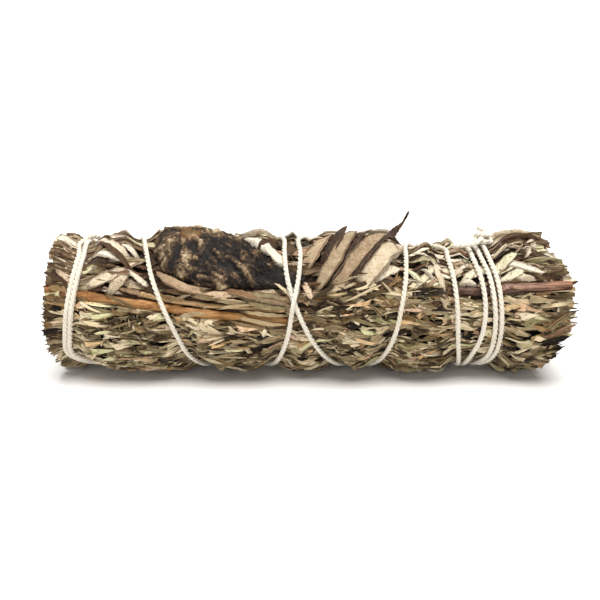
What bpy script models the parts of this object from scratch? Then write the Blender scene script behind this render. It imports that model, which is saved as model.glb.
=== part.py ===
"""Sage smudge stick: sprigs of sagebrush and white sage laid side by side, cut to one length and bound with
one length of cotton twine. The bundle lies along X on the plane z = 0, in metres, +Z up."""

import math
import random

import bmesh
import bpy
from bmesh.utils import edge_rotate
from mathutils import Matrix, Vector
from mathutils.kdtree import KDTree

MM = 0.001

# Driving dimensions
LENGTH = 156 * MM  # from cut end to cut end, without the stalks and leaf tips that stand past the cut
SEAT_RADIUS = 19.0 * MM  # mean radius of the herbs where the twine presses on them
SWELL = 2.1 * MM  # how much further out the herbs stand between the turns of twine
SWELL_REACH = 4.8 * MM  # distance from a turn at which they have swelled fully
TWINE = 1.5 * MM  # diameter of the twine
CLEAR = 0.35 * MM  # gap kept between neighbouring pieces
PRESSED = 0.4 * MM  # how much of the lowest leaves is pressed flat by the surface below
SUNK = 0.2 * MM  # how deep the twine bites into the herbs
UNDER_TWINE = 0.9 * MM  # how far what passes under the twine stays below the herbs that it presses on
OVAL = 0.03  # how much wider than round, and lower, the bundle has settled
AXIS_HEIGHT = (1 - OVAL) * SEAT_RADIUS + SWELL - CLEAR - PRESSED
HEART_RADIUS = 7.6 * MM  # the sprig in the middle, which the outer ones lie round
HELD_LOW = 1.5 * MM  # height over the herbs up to which the twine holds a leaf down
LEAF_DEPTH = 2.3 * MM  # depth of the loose leaves that cover each packed sprig
CORE_HALF = LENGTH / 2 - 1.8 * MM  # half the length of the packed sprigs, which the cut ends stand out of
TOP_CUT = 5.5 * MM  # how much shorter the right end is cut at the top than in the middle
BOTTOM_CUT = 6.0 * MM  # how much shorter it is cut underneath
CUT_REACH = 56 * MM  # where the leaves start to lean back toward that end
LEAF_REACH = 79.5  # the mark in mm, either way from the middle, that no leaf along the bundle passes
ROOTED = 4 * MM  # how deep a cut end is rooted in its sprig
FINEST = 0.02 * MM  # the shortest edge that is kept
GOLDEN_SHARE = 0.618  # spreads the cut ends evenly over the end of a sprig

# Angles round the bundle, in degrees: 0 is the front (-Y), 90 the top, 180 the back and 270 the underside
TOP_SPLIT = 106
BACK_SPLIT = 158
SAGEBRUSH_SPLITS = (158, 202, 244, 292, 330)

HERB_GREEN = (0.36, 0.33, 0.22, 1)
HERB_PALE = (0.62, 0.57, 0.44, 1)
HERB_DARK = (0.13, 0.10, 0.075, 1)
BARK_ORANGE = (0.50, 0.27, 0.11, 1)
BARK_BROWN = (0.27, 0.15, 0.10, 1)
COTTON = (0.86, 0.83, 0.76, 1)


# How far the top stands above an even round, or below it, as (x in mm, mm)
CREST = (
    (-80, 2.4), (-70, 1.8), (-50, 2.0), (-22, 0.8), (-6, 2.2), (12, 2.0), (25, 1.0), (34, -0.8), (50, -0.8),
    (58, 0.9), (72, 1.6), (80, 1.8),
)


# The shape of the bundle
def smooth(value):
    """0 below 0, 1 above 1, and an even S between."""
    value = min(max(value, 0.0), 1.0)
    return value * value * (3 - 2 * value)


def between(table, x):
    """The value at x of a line through the table's pairs of position in mm and value."""
    x = x / MM
    if x <= table[0][0]:
        return table[0][1]
    for (x0, value0), (x1, value1) in zip(table, table[1:]):
        if x <= x1:
            return value0 + (value1 - value0) * (x - x0) / (x1 - x0)
    return table[-1][1]


def seat_radius(x, angle):
    """Radius of the herbs under the twine: wider than tall, uneven on top, and narrower at both ends."""
    a = math.radians(angle)
    oval = 1 + OVAL * math.cos(2 * a)
    end_taper = 0.055 * abs(2 * x / LENGTH) ** 4
    crest = between(CREST, x) * MM * ((1 + math.sin(a)) / 2) ** 4
    return SEAT_RADIUS * (oval - end_taper) + crest


def place(x, angle, radius):
    """The point at that distance from the axis. The right end is cut shorter at its top and underneath."""
    a = math.radians(angle)
    cut = TOP_CUT * smooth((math.sin(a) - 0.62) / 0.32) + BOTTOM_CUT * smooth((-math.sin(a) - 0.05) / 0.65)
    cut *= min(radius / SEAT_RADIUS, 1) * smooth((x - CUT_REACH) / (22 * MM))
    return Vector((x - cut, -radius * math.cos(a), AXIS_HEIGHT + radius * math.sin(a)))


def from_axis(point):
    """Distance of a point from the bundle's axis."""
    return math.hypot(point.y, point.z - AXIS_HEIGHT)


# The twine is one length, wound from the knot near the right end to the left end and back. Each row is a
# turn, with its place along X in mm at TWINE_ANGLES; the rows are in the order in which they are laid.
TWINE_ANGLES = (200, 235, 270, 300, 325, 350, 375, 400, 425, 450)
TWINE_TURNS = (
    (48.5, 47.6, 46.3, 46.3, 45.1, 43.7, 43.1, 42.4, 41.6, 41.3),
    (20.0, 16.0, 12.5, 8.9, 4.2, -0.5, -4.4, -7.0, -7.9, -8.3),
    (-19.0, -26.5, -30.5, -33.3, -36.8, -39.8, -43.5, -47.0, -49.4, -51.7),
    (-61.0, -61.5, -62.5, -66.8, -72.2, -71.4, -70.2, -68.9, -68.3, -69.1),
    (-68.5, -66.5, -64.6, -68.6, -74.0, -73.2, -72.0, -70.7, -70.1, -70.9),
    (-40.0, -27.5, -19.0, -12.0, -9.1, -6.7, -5.3, -3.6, -3.1, -3.6),
    (12.0, 14.5, 16.7, 19.3, 22.3, 25.0, 26.7, 28.1, 28.8, 29.6),
    (41.0, 47.4, 48.3, 48.2, 48.9, 50.9, 51.4, 50.6, 49.3, 49.2),
    (47.5, 50.5, 50.9, 51.9, 54.1, 54.6, 54.2, 53.2, 51.7, 51.5),
    (51.0, 52.8, 52.7, 53.7, 55.9, 56.4, 56.1, 55.2, 53.9, 53.8),
)
KNOT_X = 54.2
KNOT_ANGLE = 100
TWINE_STEP = 6  # degrees between the points of the finely drawn route
COARSE_STEP = 24  # degrees between the points that the twine keeps where it crosses nothing
CROSSING_SPREAD = 2.6 * MM  # half length of the hump where one turn passes over another
CROSSING_LIFT = 1.12 * TWINE


def twine_route():
    """Points (angle, x, lift) along the whole twine: lift is the hump where it crosses an earlier turn."""
    marks = [(KNOT_ANGLE, KNOT_X)]
    for turn, row in enumerate(TWINE_TURNS):
        marks += [(angle + 360 * turn, x) for angle, x in zip(TWINE_ANGLES, row)]
    marks.append((KNOT_ANGLE + 360 * len(TWINE_TURNS), KNOT_X))
    route = []
    for i in range(len(marks) - 1):
        before, start, end, after = (marks[min(max(i + k, 0), len(marks) - 1)] for k in (-1, 0, 1, 2))
        span = end[0] - start[0]
        slope_in = (end[1] - before[1]) / (end[0] - before[0])
        slope_out = (after[1] - start[1]) / (after[0] - start[0])
        steps = max(1, round(span / TWINE_STEP))
        for k in range(steps):
            t = k / steps
            x = (2 * t**3 - 3 * t**2 + 1) * start[1] + (3 * t**2 - 2 * t**3) * end[1]
            x += (t**3 - 2 * t**2 + t) * slope_in * span + (t**3 - t**2) * slope_out * span
            route.append((start[0] + span * t, x * MM))
    route.append((marks[-1][0], marks[-1][1] * MM))
    humps = crossings(route)
    arc_per_degree = math.radians(1) * SEAT_RADIUS
    lifted = []
    for angle, x in route:
        lift = 0.0
        for hump_angle, hump_x in humps:
            away = math.hypot((angle - hump_angle) * arc_per_degree, x - hump_x)
            lift = max(lift, CROSSING_LIFT * math.exp(-((away / CROSSING_SPREAD) ** 2)))
        lifted.append((angle, x, lift))
    return lifted


def crossings(route):
    """Where a later stretch of the route passes over an earlier one, as (angle, x) on the later stretch."""
    found = []
    for late in range(len(route) - 1):
        (a0, x0), (a1, x1) = route[late], route[late + 1]
        for early in range(late - 180 // TWINE_STEP):
            (b0, y0), (b1, y1) = route[early], route[early + 1]
            turns = 360 * round((a0 - b0) / 360)
            b0, b1 = b0 + turns, b1 + turns
            low, high = max(a0, b0), min(a1, b1)
            if low >= high:
                continue
            gaps = []
            for angle in (low, high):
                late_x = x0 + (x1 - x0) * (angle - a0) / (a1 - a0)
                early_x = y0 + (y1 - y0) * (angle - b0) / (b1 - b0)
                gaps.append(late_x - early_x)
            if gaps[0] * gaps[1] < 0:
                middle = (low + high) / 2
                found.append((middle, x0 + (x1 - x0) * (middle - a0) / (a1 - a0)))
    return found


ROUTE = twine_route()
TURNS_NEAR = KDTree(len(ROUTE))
for index, (angle, x, lift) in enumerate(ROUTE):
    TURNS_NEAR.insert(place(x, angle, seat_radius(x, angle)), index)
TURNS_NEAR.balance()


def swelled(x, angle):
    """0 under the twine and 1 where the herbs have swelled fully."""
    distance = TURNS_NEAR.find(place(x, angle, seat_radius(x, angle)))[2]
    return smooth((distance - 0.8 * TWINE) / SWELL_REACH)


def herb_radius(x, angle):
    """Radius of the outermost leaves."""
    return seat_radius(x, angle) - CLEAR + SWELL * swelled(x, angle)


# Stems that lie on the outside, as (x in mm, angle); the first runs along the split between the two herbs
ORANGE_STEM = ((-78.3, 30), (-66, 25), (-49, 17), (-37, 11.5), (-22, 7), (-7.3, 2.5))
SIDE_STEM = ((-50, 26.5), (-41, 20.5), (-30, 16.5), (-18, 14.5), (-8, 12))
BROWN_STEM = ((40.5, 30), (50, 29.5), (58, 32), (68, 33), (77, 35))
ORANGE_RADIUS = 1.2 * MM
SIDE_RADIUS = 0.65 * MM
BROWN_RADIUS = 1.45 * MM

# Stems inside the sprigs, one in each outer sprig and three in the heart
INNER_STEM_DISTANCE = 11.7 * MM
HEART_STEM_DISTANCE = 4.0 * MM


def front_split(x):
    """Angle of the line on the front where the white sage ends and the sagebrush begins."""
    return between((*ORANGE_STEM, (10, 12), (26, 28), *BROWN_STEM[1:]), x)


def wavy_split(angle):
    """A split that wanders a little about its angle along the bundle."""
    return lambda x: angle + 2.5 * math.sin(70 * x + angle)


def outer_sprigs():
    """For each outer sprig, its name and the two angles that it lies between, as functions of x."""
    cuts = [wavy_split(angle) for angle in SAGEBRUSH_SPLITS]
    top = wavy_split(TOP_SPLIT)
    return (
        ("sagebrush_back", cuts[0], cuts[1]),
        ("sagebrush_low_back", cuts[1], cuts[2]),
        ("sagebrush_underside", cuts[2], cuts[3]),
        ("sagebrush_low_front", cuts[3], cuts[4]),
        ("sagebrush_front", cuts[4], lambda x: front_split(x) + 360),
        ("white_sage_front", front_split, top),
        ("white_sage_back", top, wavy_split(BACK_SPLIT)),
    )


# Making and joining meshes
def in_collection(name):
    found = bpy.data.collections.get(name)
    if found is None:
        found = bpy.data.collections.new(name)
        bpy.context.scene.collection.children.link(found)
    return found


def finish(name, colour, roughness):
    """A plain surface of that colour."""
    made = bpy.data.materials.new(name)
    made.use_nodes = True
    shader = made.node_tree.nodes["Principled BSDF"]
    shader.inputs["Base Color"].default_value = colour
    shader.inputs["Roughness"].default_value = roughness
    made.diffuse_color = colour
    return made


def object_from(bm, name, collection):
    """Closes the mesh edit and makes an object of it, with all faces pointing out."""
    bmesh.ops.recalc_face_normals(bm, faces=bm.faces)
    if bm.calc_volume(signed=True) < 0:
        bmesh.ops.reverse_faces(bm, faces=bm.faces)
    mesh = bpy.data.meshes.new(name)
    bm.to_mesh(mesh)
    bm.free()
    made = bpy.data.objects.new(name, mesh)
    in_collection(collection).objects.link(made)
    return made


def loft(name, rings, collection):
    """A closed skin over rings of points that all have the same count, with flat ends.

    Its quads are split from the corner nearer the axis, so that neighbours split their shared side alike."""
    bm = bmesh.new()
    rows = [[bm.verts.new(point) for point in ring] for ring in rings]
    count = len(rings[0])
    for row, following in zip(rows, rows[1:]):
        for k in range(count):
            a, b, c, d = row[k], row[(k + 1) % count], following[(k + 1) % count], following[k]
            if from_axis(a.co) > from_axis(b.co):
                a, b, c, d = b, c, d, a
            bm.faces.new((a, b, c))
            bm.faces.new((a, c, d))
    bm.faces.new(rows[0])
    bm.faces.new(rows[-1])
    bmesh.ops.triangulate(bm, faces=bm.faces)
    return object_from(bm, name, collection)


def evaluated_mesh(obj):
    graph = bpy.context.evaluated_depsgraph_get()
    return bpy.data.meshes.new_from_object(obj.evaluated_get(graph))


def rod(name, points, radius, collection, bevel_resolution=2):
    """A round rod through the points, with filled ends."""
    curve = bpy.data.curves.new(name, "CURVE")
    curve.dimensions = "3D"
    curve.bevel_depth = radius
    curve.bevel_resolution = bevel_resolution
    curve.use_fill_caps = True
    spline = curve.splines.new("POLY")
    spline.points.add(len(points) - 1)
    for spot, point in zip(spline.points, points):
        spot.co = (*point, 1)
    drawn = bpy.data.objects.new(name + "_curve", curve)
    in_collection(collection).objects.link(drawn)
    bm = bmesh.new()
    bm.from_mesh(evaluated_mesh(drawn))
    bpy.data.objects.remove(drawn)
    bmesh.ops.remove_doubles(bm, verts=bm.verts, dist=0.01 * MM)
    return object_from(bm, name, collection)


def combine(obj, operation, other):
    """Joins or cuts an object with another one, or with a whole collection, whose objects are then removed.

    The leaves cross each other in hundreds of places, where the exact solver leaves sprigs open."""
    join = obj.modifiers.new("join", "BOOLEAN")
    join.operation = operation
    join.solver = "MANIFOLD"
    if isinstance(other, bpy.types.Collection):
        join.operand_type = "COLLECTION"
        join.collection = other
    else:
        join.object = other
    joined = evaluated_mesh(obj)
    obj.modifiers.clear()
    obj.data = joined
    if isinstance(other, bpy.types.Collection):
        for member in list(other.objects):
            bpy.data.objects.remove(member)
        bpy.data.collections.remove(other)


def close_slivers(bm):
    """Shrinks edges shorter than FINEST to a point, and turns the long side of faces narrower than a
    quarter of that, where leaves just touch. Both are done only where the skin stays closed."""
    for edge in [edge for edge in bm.edges if edge.calc_length() < FINEST]:
        if edge.is_valid:
            a, b = edge.verts
            shared = {e.other_vert(a) for e in a.link_edges} & {e.other_vert(b) for e in b.link_edges}
            if len(shared) == 2 and all(len(vert.link_edges) > 3 for vert in shared):
                bmesh.ops.pointmerge(bm, verts=[a, b], merge_co=(a.co + b.co) / 2)
    for face in list(bm.faces):
        if face.is_valid:
            longest = max(face.edges, key=lambda edge: edge.calc_length())
            if 2 * face.calc_area() < FINEST / 4 * longest.calc_length():
                one, other = (vert for f in longest.link_faces for vert in f.verts if vert not in longest.verts)
                if one not in [edge.other_vert(other) for edge in other.link_edges]:
                    edge_rotate(longest, True)


def keep_main_body(obj):
    """Fills sealed pockets and drops loose scraps, as only the skin with the most faces stays."""
    bm = bmesh.new()
    bm.from_mesh(obj.data)
    bmesh.ops.triangulate(bm, faces=bm.faces)
    unseen = set(bm.faces)
    skins = []
    while unseen:
        skin = [unseen.pop()]
        for face in skin:
            for edge in face.edges:
                for other in edge.link_faces:
                    if other in unseen:
                        unseen.remove(other)
                        skin.append(other)
        skins.append(skin)
    skins.sort(key=len)
    bmesh.ops.delete(bm, geom=[face for skin in skins[:-1] for face in skin], context="FACES")
    close_slivers(bm)
    bm.to_mesh(obj.data)
    bm.free()


def corners(obj):
    """The lowest and highest corner of a mesh's box."""
    points = [vert.co for vert in obj.data.vertices]
    return [(min(point[k] for point in points), max(point[k] for point in points)) for k in range(3)]


def boxes_meet(one, other):
    return all(a[0] < b[1] and b[0] < a[1] for a, b in zip(corners(one), corners(other)))


# Leaves
def leaf(name, spots, width, thickness, fold, collection, rings=4):
    """One dry leaf: a four-sided sphere stretched along its spots (x, angle, height over the herbs).

    Its sides are the leaf's edges, which fold lifts over the midrib, and the twine holds down what is low."""
    centre = []
    for x, angle, height in spots:
        raised = min(max(height, 0), HELD_LOW)
        pressed = seat_radius(x, angle) - CLEAR + (SWELL + raised) * swelled(x, angle)
        pressed += max(height - HELD_LOW, 0)
        radius = min(herb_radius(x, angle) + height, pressed) - thickness / 2
        centre.append(place(x, angle, radius))
    last = len(centre) - 1
    bm = bmesh.new()
    bmesh.ops.create_uvsphere(bm, u_segments=4, v_segments=rings, radius=1)
    for vert in bm.verts:
        t = (1 - vert.co.z) / 2
        at = min(int(t * last), last - 1)
        middle = centre[at].lerp(centre[at + 1], t * last - at)
        along = (centre[at + 1] - centre[at]).normalized()
        from_middle = (middle - Vector((middle.x, 0, AXIS_HEIGHT))).normalized()
        side = along.cross(from_middle).normalized()
        outward = side.cross(along)
        across = vert.co.x * (1 - 0.25 * t) * width / 2
        rise = vert.co.y * thickness / 2 + abs(vert.co.x) * fold
        vert.co = middle + side * across + outward * rise
    bmesh.ops.triangulate(bm, faces=bm.faces)
    return object_from(bm, name, collection)


def narrow_leaves(name, start, end, points_left, rows, rise, rng):
    """Sagebrush leaves lying along the sprig in rows that overlap like shingles, raised by rise in mm."""
    columns = 5
    pitch = LENGTH / MM / columns
    way = -1 if points_left else 1
    heights = [height + rise for height in (-2.9, -0.9, -0.15, -0.45)]
    for row in range(rows):
        for column in range(columns):
            length = rng.uniform(26, 34)
            width = rng.uniform(2.9, 3.9)
            stagger = 0.5 * (row % 2) - 0.25
            centre = pitch * (column + 0.5 + stagger) - LENGTH / 2 / MM + rng.uniform(-2.5, 2.5)
            centre = min(max(centre, length / 2 - LEAF_REACH), LEAF_REACH - length / 2)
            share = (row + 0.5 + rng.uniform(-0.25, 0.25)) / rows
            lean = rng.uniform(-5, 5)
            spots = []
            for k, height in enumerate(heights):
                x = (centre + way * length * (k / 3 - 0.5)) * MM
                margin = math.degrees((0.45 * width * MM + 1.4 * CLEAR) / SEAT_RADIUS)
                low, high = start(x) + margin, end(x) - margin
                angle = low + (high - low) * share + lean * (k / 3 - 0.4)
                spots.append((x, min(max(angle, low), high), height * MM))
            thickness = rng.uniform(1.3, 1.7) * MM
            leaf(f"{name}_leaf", spots, width * MM, thickness, 0.12 * MM, name + " leaves", rings=3)


def broad_leaves(name, start, end, rng):
    """White sage leaves laid along the back in three rows, each pointing out to the nearer end."""
    rows, columns = 3, 5
    for row in range(rows):
        for column in range(columns):
            centre = 132 * (column + 0.5 * (row % 2)) / columns - 58 + rng.uniform(-3, 3)
            length = rng.uniform(22, 30)
            width = rng.uniform(4.4, 6.4)
            way = 1 if centre > 0 else -1
            root = centre - way * length / 2
            tip = min(max(centre + way * length / 2, -LEAF_REACH), LEAF_REACH)
            lean = rng.uniform(-9, 9)
            margin = math.degrees((0.45 * width * MM + CLEAR) / SEAT_RADIUS)
            spots = []
            for k, height in enumerate((-3.6, -0.8, 0.2, 0.3, 0.1)):
                x = (root + (tip - root) * k / 4) * MM
                low, high = start(x) + margin, end(x) - margin
                angle = low + (high - low) * (row + 0.5) / rows + lean * (k / 4 - 0.4)
                spots.append((x, min(max(angle, low), high), height * MM))
            leaf(f"{name}_leaf", spots, width * MM, 1.15 * MM, 0.3 * MM, name + " leaves")


# The white sage leaves that show on the front: root, middle and tip as (x in mm, angle), width in mm, and the
# heights in mm over the herbs at five spots from root to tip
FRONT_LEAVES = (
    ((-71.0, 68), (-61.7, 60), (-55.3, 53), 3.3, (-3.8, 0.1, 0.5, 0.5, 0.3)),
    ((-52.7, 56), (-59.7, 71), (-66.1, 82), 2.7, (-3.8, 0.2, 0.8, 0.9, 0.8)),
    ((-50.7, 61), (-56.7, 75), (-62.1, 89), 2.7, (-3.8, -0.2, 0.3, 0.4, 0.3)),
    ((-52.5, 50), (-59.5, 39), (-67.9, 31), 3.4, (-3.8, 0.5, 0.9, 0.8, 0.2)),
    ((-52.8, 49), (-56.2, 36), (-60.1, 23), 3.1, (-3.8, 0.2, 0.5, 0.4, 0.0)),
    ((-59.7, 45), (-63.5, 49), (-67.6, 52), 2.7, (-3.8, -0.6, -0.3, -0.1, 0.0)),
    ((-47.4, 32), (-50.4, 38), (-53.8, 45), 1.9, (-3.8, 0.0, 0.3, 0.4, 0.5)),
    ((-41.9, 20), (-49.3, 26), (-56.7, 30), 1.8, (-3.8, -0.3, 0.0, 0.0, -0.2)),
    ((-69.5, 76), (-74.0, 86), (-78.5, 78), 4.2, (-3.8, 0.2, 0.6, 0.6, 0.3)),
    ((-66.8, 59), (-72.3, 64), (-77.6, 71), 2.1, (-3.8, 0.0, 0.3, 0.4, 0.3)),
    ((-69.1, 53), (-72.9, 57), (-77.1, 61), 2.7, (-3.8, -0.4, 0.0, 0.1, 0.1)),
    ((-68.2, 33), (-72.1, 42), (-76.7, 51), 2.7, (-3.8, -0.3, 0.1, 0.3, 0.3)),
    ((-68.6, 32), (-73.7, 38), (-78.7, 44), 1.5, (-3.8, 0.0, 0.5, 0.6, 0.4)),
    ((-71.0, 28), (-75.0, 31), (-78.9, 33), 3.0, (-3.8, -0.4, 0.0, 0.1, 0.0)),
    ((-26.7, 27), (-38.3, 32), (-45.9, 47), 2.8, (-3.8, 0.2, 0.6, 0.7, 0.7)),
    ((-25.5, 27), (-14.3, 23), (-6.1, 21), 3.3, (-3.8, -0.2, 0.2, 0.2, 0.0)),
    ((-2.7, 47), (1.3, 65), (6.4, 86), 4.5, (-3.8, -0.6, 0.2, 0.4, 0.4)),
    ((1.9, 47), (7.0, 69), (11.6, 102), 2.7, (-3.8, 0.0, 0.8, 1.4, 2.4)),
    ((-0.1, 26), (7.5, 54), (14.8, 102), 3.7, (-3.8, 0.5, 1.0, 1.0, 0.9)),
    ((3.0, 21), (13.1, 52), (24.3, 103), 3.7, (-3.8, 0.3, 0.8, 0.8, 0.7)),
    ((11.5, 27), (19.9, 51), (29.1, 89), 6.3, (-3.8, -0.2, 0.5, 0.7, 0.6)),
    ((15.0, 31), (21.5, 42), (26.7, 51), 2.1, (-3.8, 0.2, 0.7, 0.7, 0.4)),
    ((6.7, 30), (17.6, 33), (27.7, 41), 2.7, (-3.8, -0.2, 0.3, 0.3, 0.0)),
    ((-2.7, 42), (-1.0, 29), (0.8, 19), 1.9, (-3.8, 0.0, 0.4, 0.3, 0.1)),
    ((22.5, 80), (26.6, 100), (31.1, 101), 1.8, (-3.8, 0.2, 3.4, 7.6, 12.6)),
    ((41.2, 41), (35.9, 61), (31.3, 75), 2.7, (-3.8, -0.2, 0.4, 0.4, 0.2)),
    ((29.2, 29), (33.3, 39), (37.7, 54), 2.4, (-3.8, -0.3, 0.1, 0.2, 0.1)),
    ((40.0, 34), (38.3, 42), (36.7, 53), 2.4, (-3.8, 0.0, 0.6, 0.6, 0.3)),
    ((34.8, 47), (37.0, 40), (38.6, 35), 3.0, (-3.8, 0.1, 0.5, 0.4, 0.1)),
    ((43.2, 30), (46.7, 42), (50.3, 56), 2.7, (-3.8, -0.5, 0.0, 0.1, 0.0)),
    ((52.2, 43), (56.9, 54), (63.2, 63), 3.6, (-3.8, 0.0, 0.6, 0.6, 0.3)),
    ((52.6, 75), (65.5, 86), (77.7, 77), 2.7, (-3.8, 0.2, 1.0, 0.9, 0.5)),
    ((56.2, 57), (63.0, 49), (69.6, 43), 2.5, (-3.8, 0.3, 0.7, 0.6, 0.3)),
    ((57.9, 44), (62.7, 40), (67.6, 36), 2.1, (-3.8, 0.0, 0.3, 0.3, 0.1)),
    ((58.4, 69), (70.2, 64), (75.3, 48), 2.7, (-3.8, 0.0, 0.4, 0.4, 0.2)),
)


def front_leaves(name):
    """The table's leaves, each on an even curve through its root, middle and tip."""
    for root, middle, tip, width, heights in FRONT_LEAVES:
        spots = []
        for k, height in enumerate(heights):
            t = k / 4
            shares = ((1 - t) * (1 - 2 * t), 4 * t * (1 - t), t * (2 * t - 1))
            marks = list(zip(shares, (root, middle, tip)))
            x, angle = (sum(share * mark[i] for share, mark in marks) for i in (0, 1))
            spots.append((x * MM, angle, height * MM))
        leaf(f"{name}_leaf", spots, width * MM, 1.15 * MM, 0.35 * MM, name + " leaves")


def cut_ends(name, start, end, inner, outer, count, rng):
    """Stalks and rolled leaves, cut off square, that stand out of both ends of a sprig by uneven lengths."""
    for way in (-1, 1):
        face = way * CORE_HALF
        low, high = start(face), end(face)
        for k in range(count):
            radius = inner + (outer - inner) * (0.25 + 0.6 * (k * GOLDEN_SHARE % 1))
            width = rng.uniform(1.6, 2.8) * MM
            thickness = rng.uniform(0.6, 1.1) * width
            past = rng.uniform(0.8, 3.2) * MM
            margin = math.degrees((width / 2 + 0.8 * CLEAR) / radius)
            angle = low + margin + (high - low - 2 * margin) * (k + 0.5) / count
            bm = bmesh.new()
            bmesh.ops.create_cone(bm, cap_ends=True, segments=4, radius1=0.5, radius2=0.5, depth=1)
            bmesh.ops.scale(bm, vec=(1.3 * width, thickness, past + ROOTED), verts=bm.verts)
            twist = Matrix.Rotation(rng.uniform(0, math.pi), 3, "Z")
            bmesh.ops.rotate(bm, matrix=Matrix.Rotation(way * math.pi / 2, 3, "Y") @ twist, verts=bm.verts)
            middle = place(face + way * (past - ROOTED) / 2, angle, radius)
            bmesh.ops.translate(bm, vec=middle, verts=bm.verts)
            object_from(bm, f"{name}_cut_end", name + " leaves")


# The big dark leaf: its lower and upper edge as (x in mm, angle)
DARK_LOWER = ((-47.5, 66), (-43.5, 46), (-36, 35), (-27, 29.5), (-16, 29.5), (-7, 31.5), (-2.4, 36))
DARK_UPPER = ((-48, 92), (-45, 118), (-37, 124), (-28, 120), (-19, 86), (-9, 54), (-1.2, 45))
DARK_THICKNESS = 1.0 * MM
DARK_HUMP = 3.1 * MM
DARK_CRUMPLE = 0.5 * MM


def along_edge(edge, t):
    """The (x, angle) a share t of the way along an edge, and past its ends along its last stretches."""
    at = min(max(int(t * (len(edge) - 1)), 0), len(edge) - 2)
    share = t * (len(edge) - 1) - at
    return [edge[at][k] + (edge[at + 1][k] - edge[at][k]) * share for k in (0, 1)]


def dark_leaf(name, collection, thickness, margin=0.0):
    """One big leaf that dried dark and crumpled, a thick sheet that humps up between the turns of twine."""
    bm = bmesh.new()
    bmesh.ops.create_grid(bm, x_segments=12, y_segments=8, size=1)
    for vert in bm.verts:
        t = (vert.co.x * (1 + 0.5 * margin) + 1) / 2
        share = (vert.co.y * (1 + margin) + 1) / 2
        low_x, low_angle = along_edge(DARK_LOWER, t)
        high_x, high_angle = along_edge(DARK_UPPER, t)
        x = (low_x + (high_x - low_x) * share) * MM
        angle = low_angle + (high_angle - low_angle) * share
        crown = max(0.0, math.sin(math.pi * share)) ** 0.5
        hump = DARK_HUMP * crown * math.sin(math.pi * min(1, t * 1.25 + 0.15))
        crumple = DARK_CRUMPLE * math.sin(9 * t + 5 * share) * math.sin(8 * share + 4 * t)
        rise = (1.85 * MM + hump + crumple) * swelled(x, angle)
        vert.co = place(x, angle, seat_radius(x, angle) - UNDER_TWINE - DARK_THICKNESS / 2 + rise)
    bmesh.ops.triangulate(bm, faces=bm.faces)
    sheet = object_from(bm, name + "_sheet", collection)
    solidify = sheet.modifiers.new("thickness", "SOLIDIFY")
    solidify.thickness = thickness
    solidify.offset = 0
    bm = bmesh.new()
    bm.from_mesh(evaluated_mesh(sheet))
    bpy.data.objects.remove(sheet)
    return object_from(bm, name, collection)


# Sprigs
def packed_sprig(name, start, end, stations=15):
    """The pressed middle of an outer sprig, a wedge of the bundle between two angles, ridged lengthwise."""
    inner = HEART_RADIUS + CLEAR
    inner_shares = (0, 0.5, 1)
    outer_shares = [1 - i / 6 for i in range(7)]
    rings = []
    for k in range(stations):
        x = CORE_HALF * (2 * k / (stations - 1) - 1)
        first, last = start(x), end(x)
        ring = []
        for share in inner_shares:
            gap = math.degrees(CLEAR / 2 / inner) * (1 - 2 * share)
            round_heart = inner / math.cos(math.radians((last - first) / 4))
            ring.append(place(x, first + (last - first) * share + gap, round_heart))
        for share in outer_shares:
            angle = first + (last - first) * share
            depth = LEAF_DEPTH * (0.45 + 0.55 * swelled(x, angle))
            ridge = 0.45 * MM * math.sin(9 * share + 3 * math.sin(60 * x + start(0)))
            radius = herb_radius(x, angle) - depth + ridge - 0.2 * MM
            gap = math.degrees(CLEAR / 2 / radius) * (1 - 2 * share)
            ring.append(place(x, angle + gap, radius))
        rings.append(ring)
    return loft(name, rings, "smudge stick")


def heart_sprig(name):
    """The sprig in the middle of the bundle, which only shows at the two cut ends."""
    rings = []
    for k in range(5):
        x = CORE_HALF * (k / 2 - 1)
        ring = []
        for side in range(12):
            wobble = 0.25 * MM * (1 if side % 2 else -1)
            ring.append(place(x, 30 * side, HEART_RADIUS - CLEAR / 2 - 0.25 * MM + wobble))
        rings.append(ring)
    body = loft(name, rings, "smudge stick")
    cut_ends(name, lambda x: 0, lambda x: 360, 2.6 * MM, HEART_RADIUS - 1.0 * MM, 5, random.Random(5))
    combine(body, "UNION", bpy.data.collections[name + " leaves"])
    return body


# Stems
def outer_stem_points(marks, radius):
    """Centre line of a stem that lies on the outside, pressed in under the twine."""
    points = []
    count = round((marks[-1][0] - marks[0][0]) / 3.5)
    for k in range(count + 1):
        x = (marks[0][0] + (marks[-1][0] - marks[0][0]) * k / count) * MM
        angle = between(marks, x)
        rise = 1.6 * MM * swelled(x, angle)
        points.append(place(x, angle, seat_radius(x, angle) - UNDER_TWINE - radius + rise))
    return points


def inner_stem_points(angle, distance, rng):
    """Centre line of a stem inside the bundle, which bends a little and stands out of both cut ends."""
    left = -CORE_HALF - rng.uniform(0.6, 2.0) * MM
    right = CORE_HALF + rng.uniform(0.6, 2.0) * MM
    wave = rng.uniform(0, 6)
    points = []
    for k in range(6):
        x = left + (right - left) * k / 5
        points.append(place(x, angle, distance + 0.35 * MM * math.sin(40 * x + wave)))
    return points


def add_stem(name, points, radius, finish_of_stem, cutters, runs_through=False):
    """A stem, and the cutter that makes room for it, which passes both ends if the stem runs through."""
    stem = rod(name, points, radius, "smudge stick")
    dress(stem, finish_of_stem, rounded=True)
    bore = points
    if runs_through:
        bore = [points[0] * 2 - points[1], *points, points[-1] * 2 - points[-2]]
    cutters.append(rod(name + "_bore", bore, radius + CLEAR, "cutters"))


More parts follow.
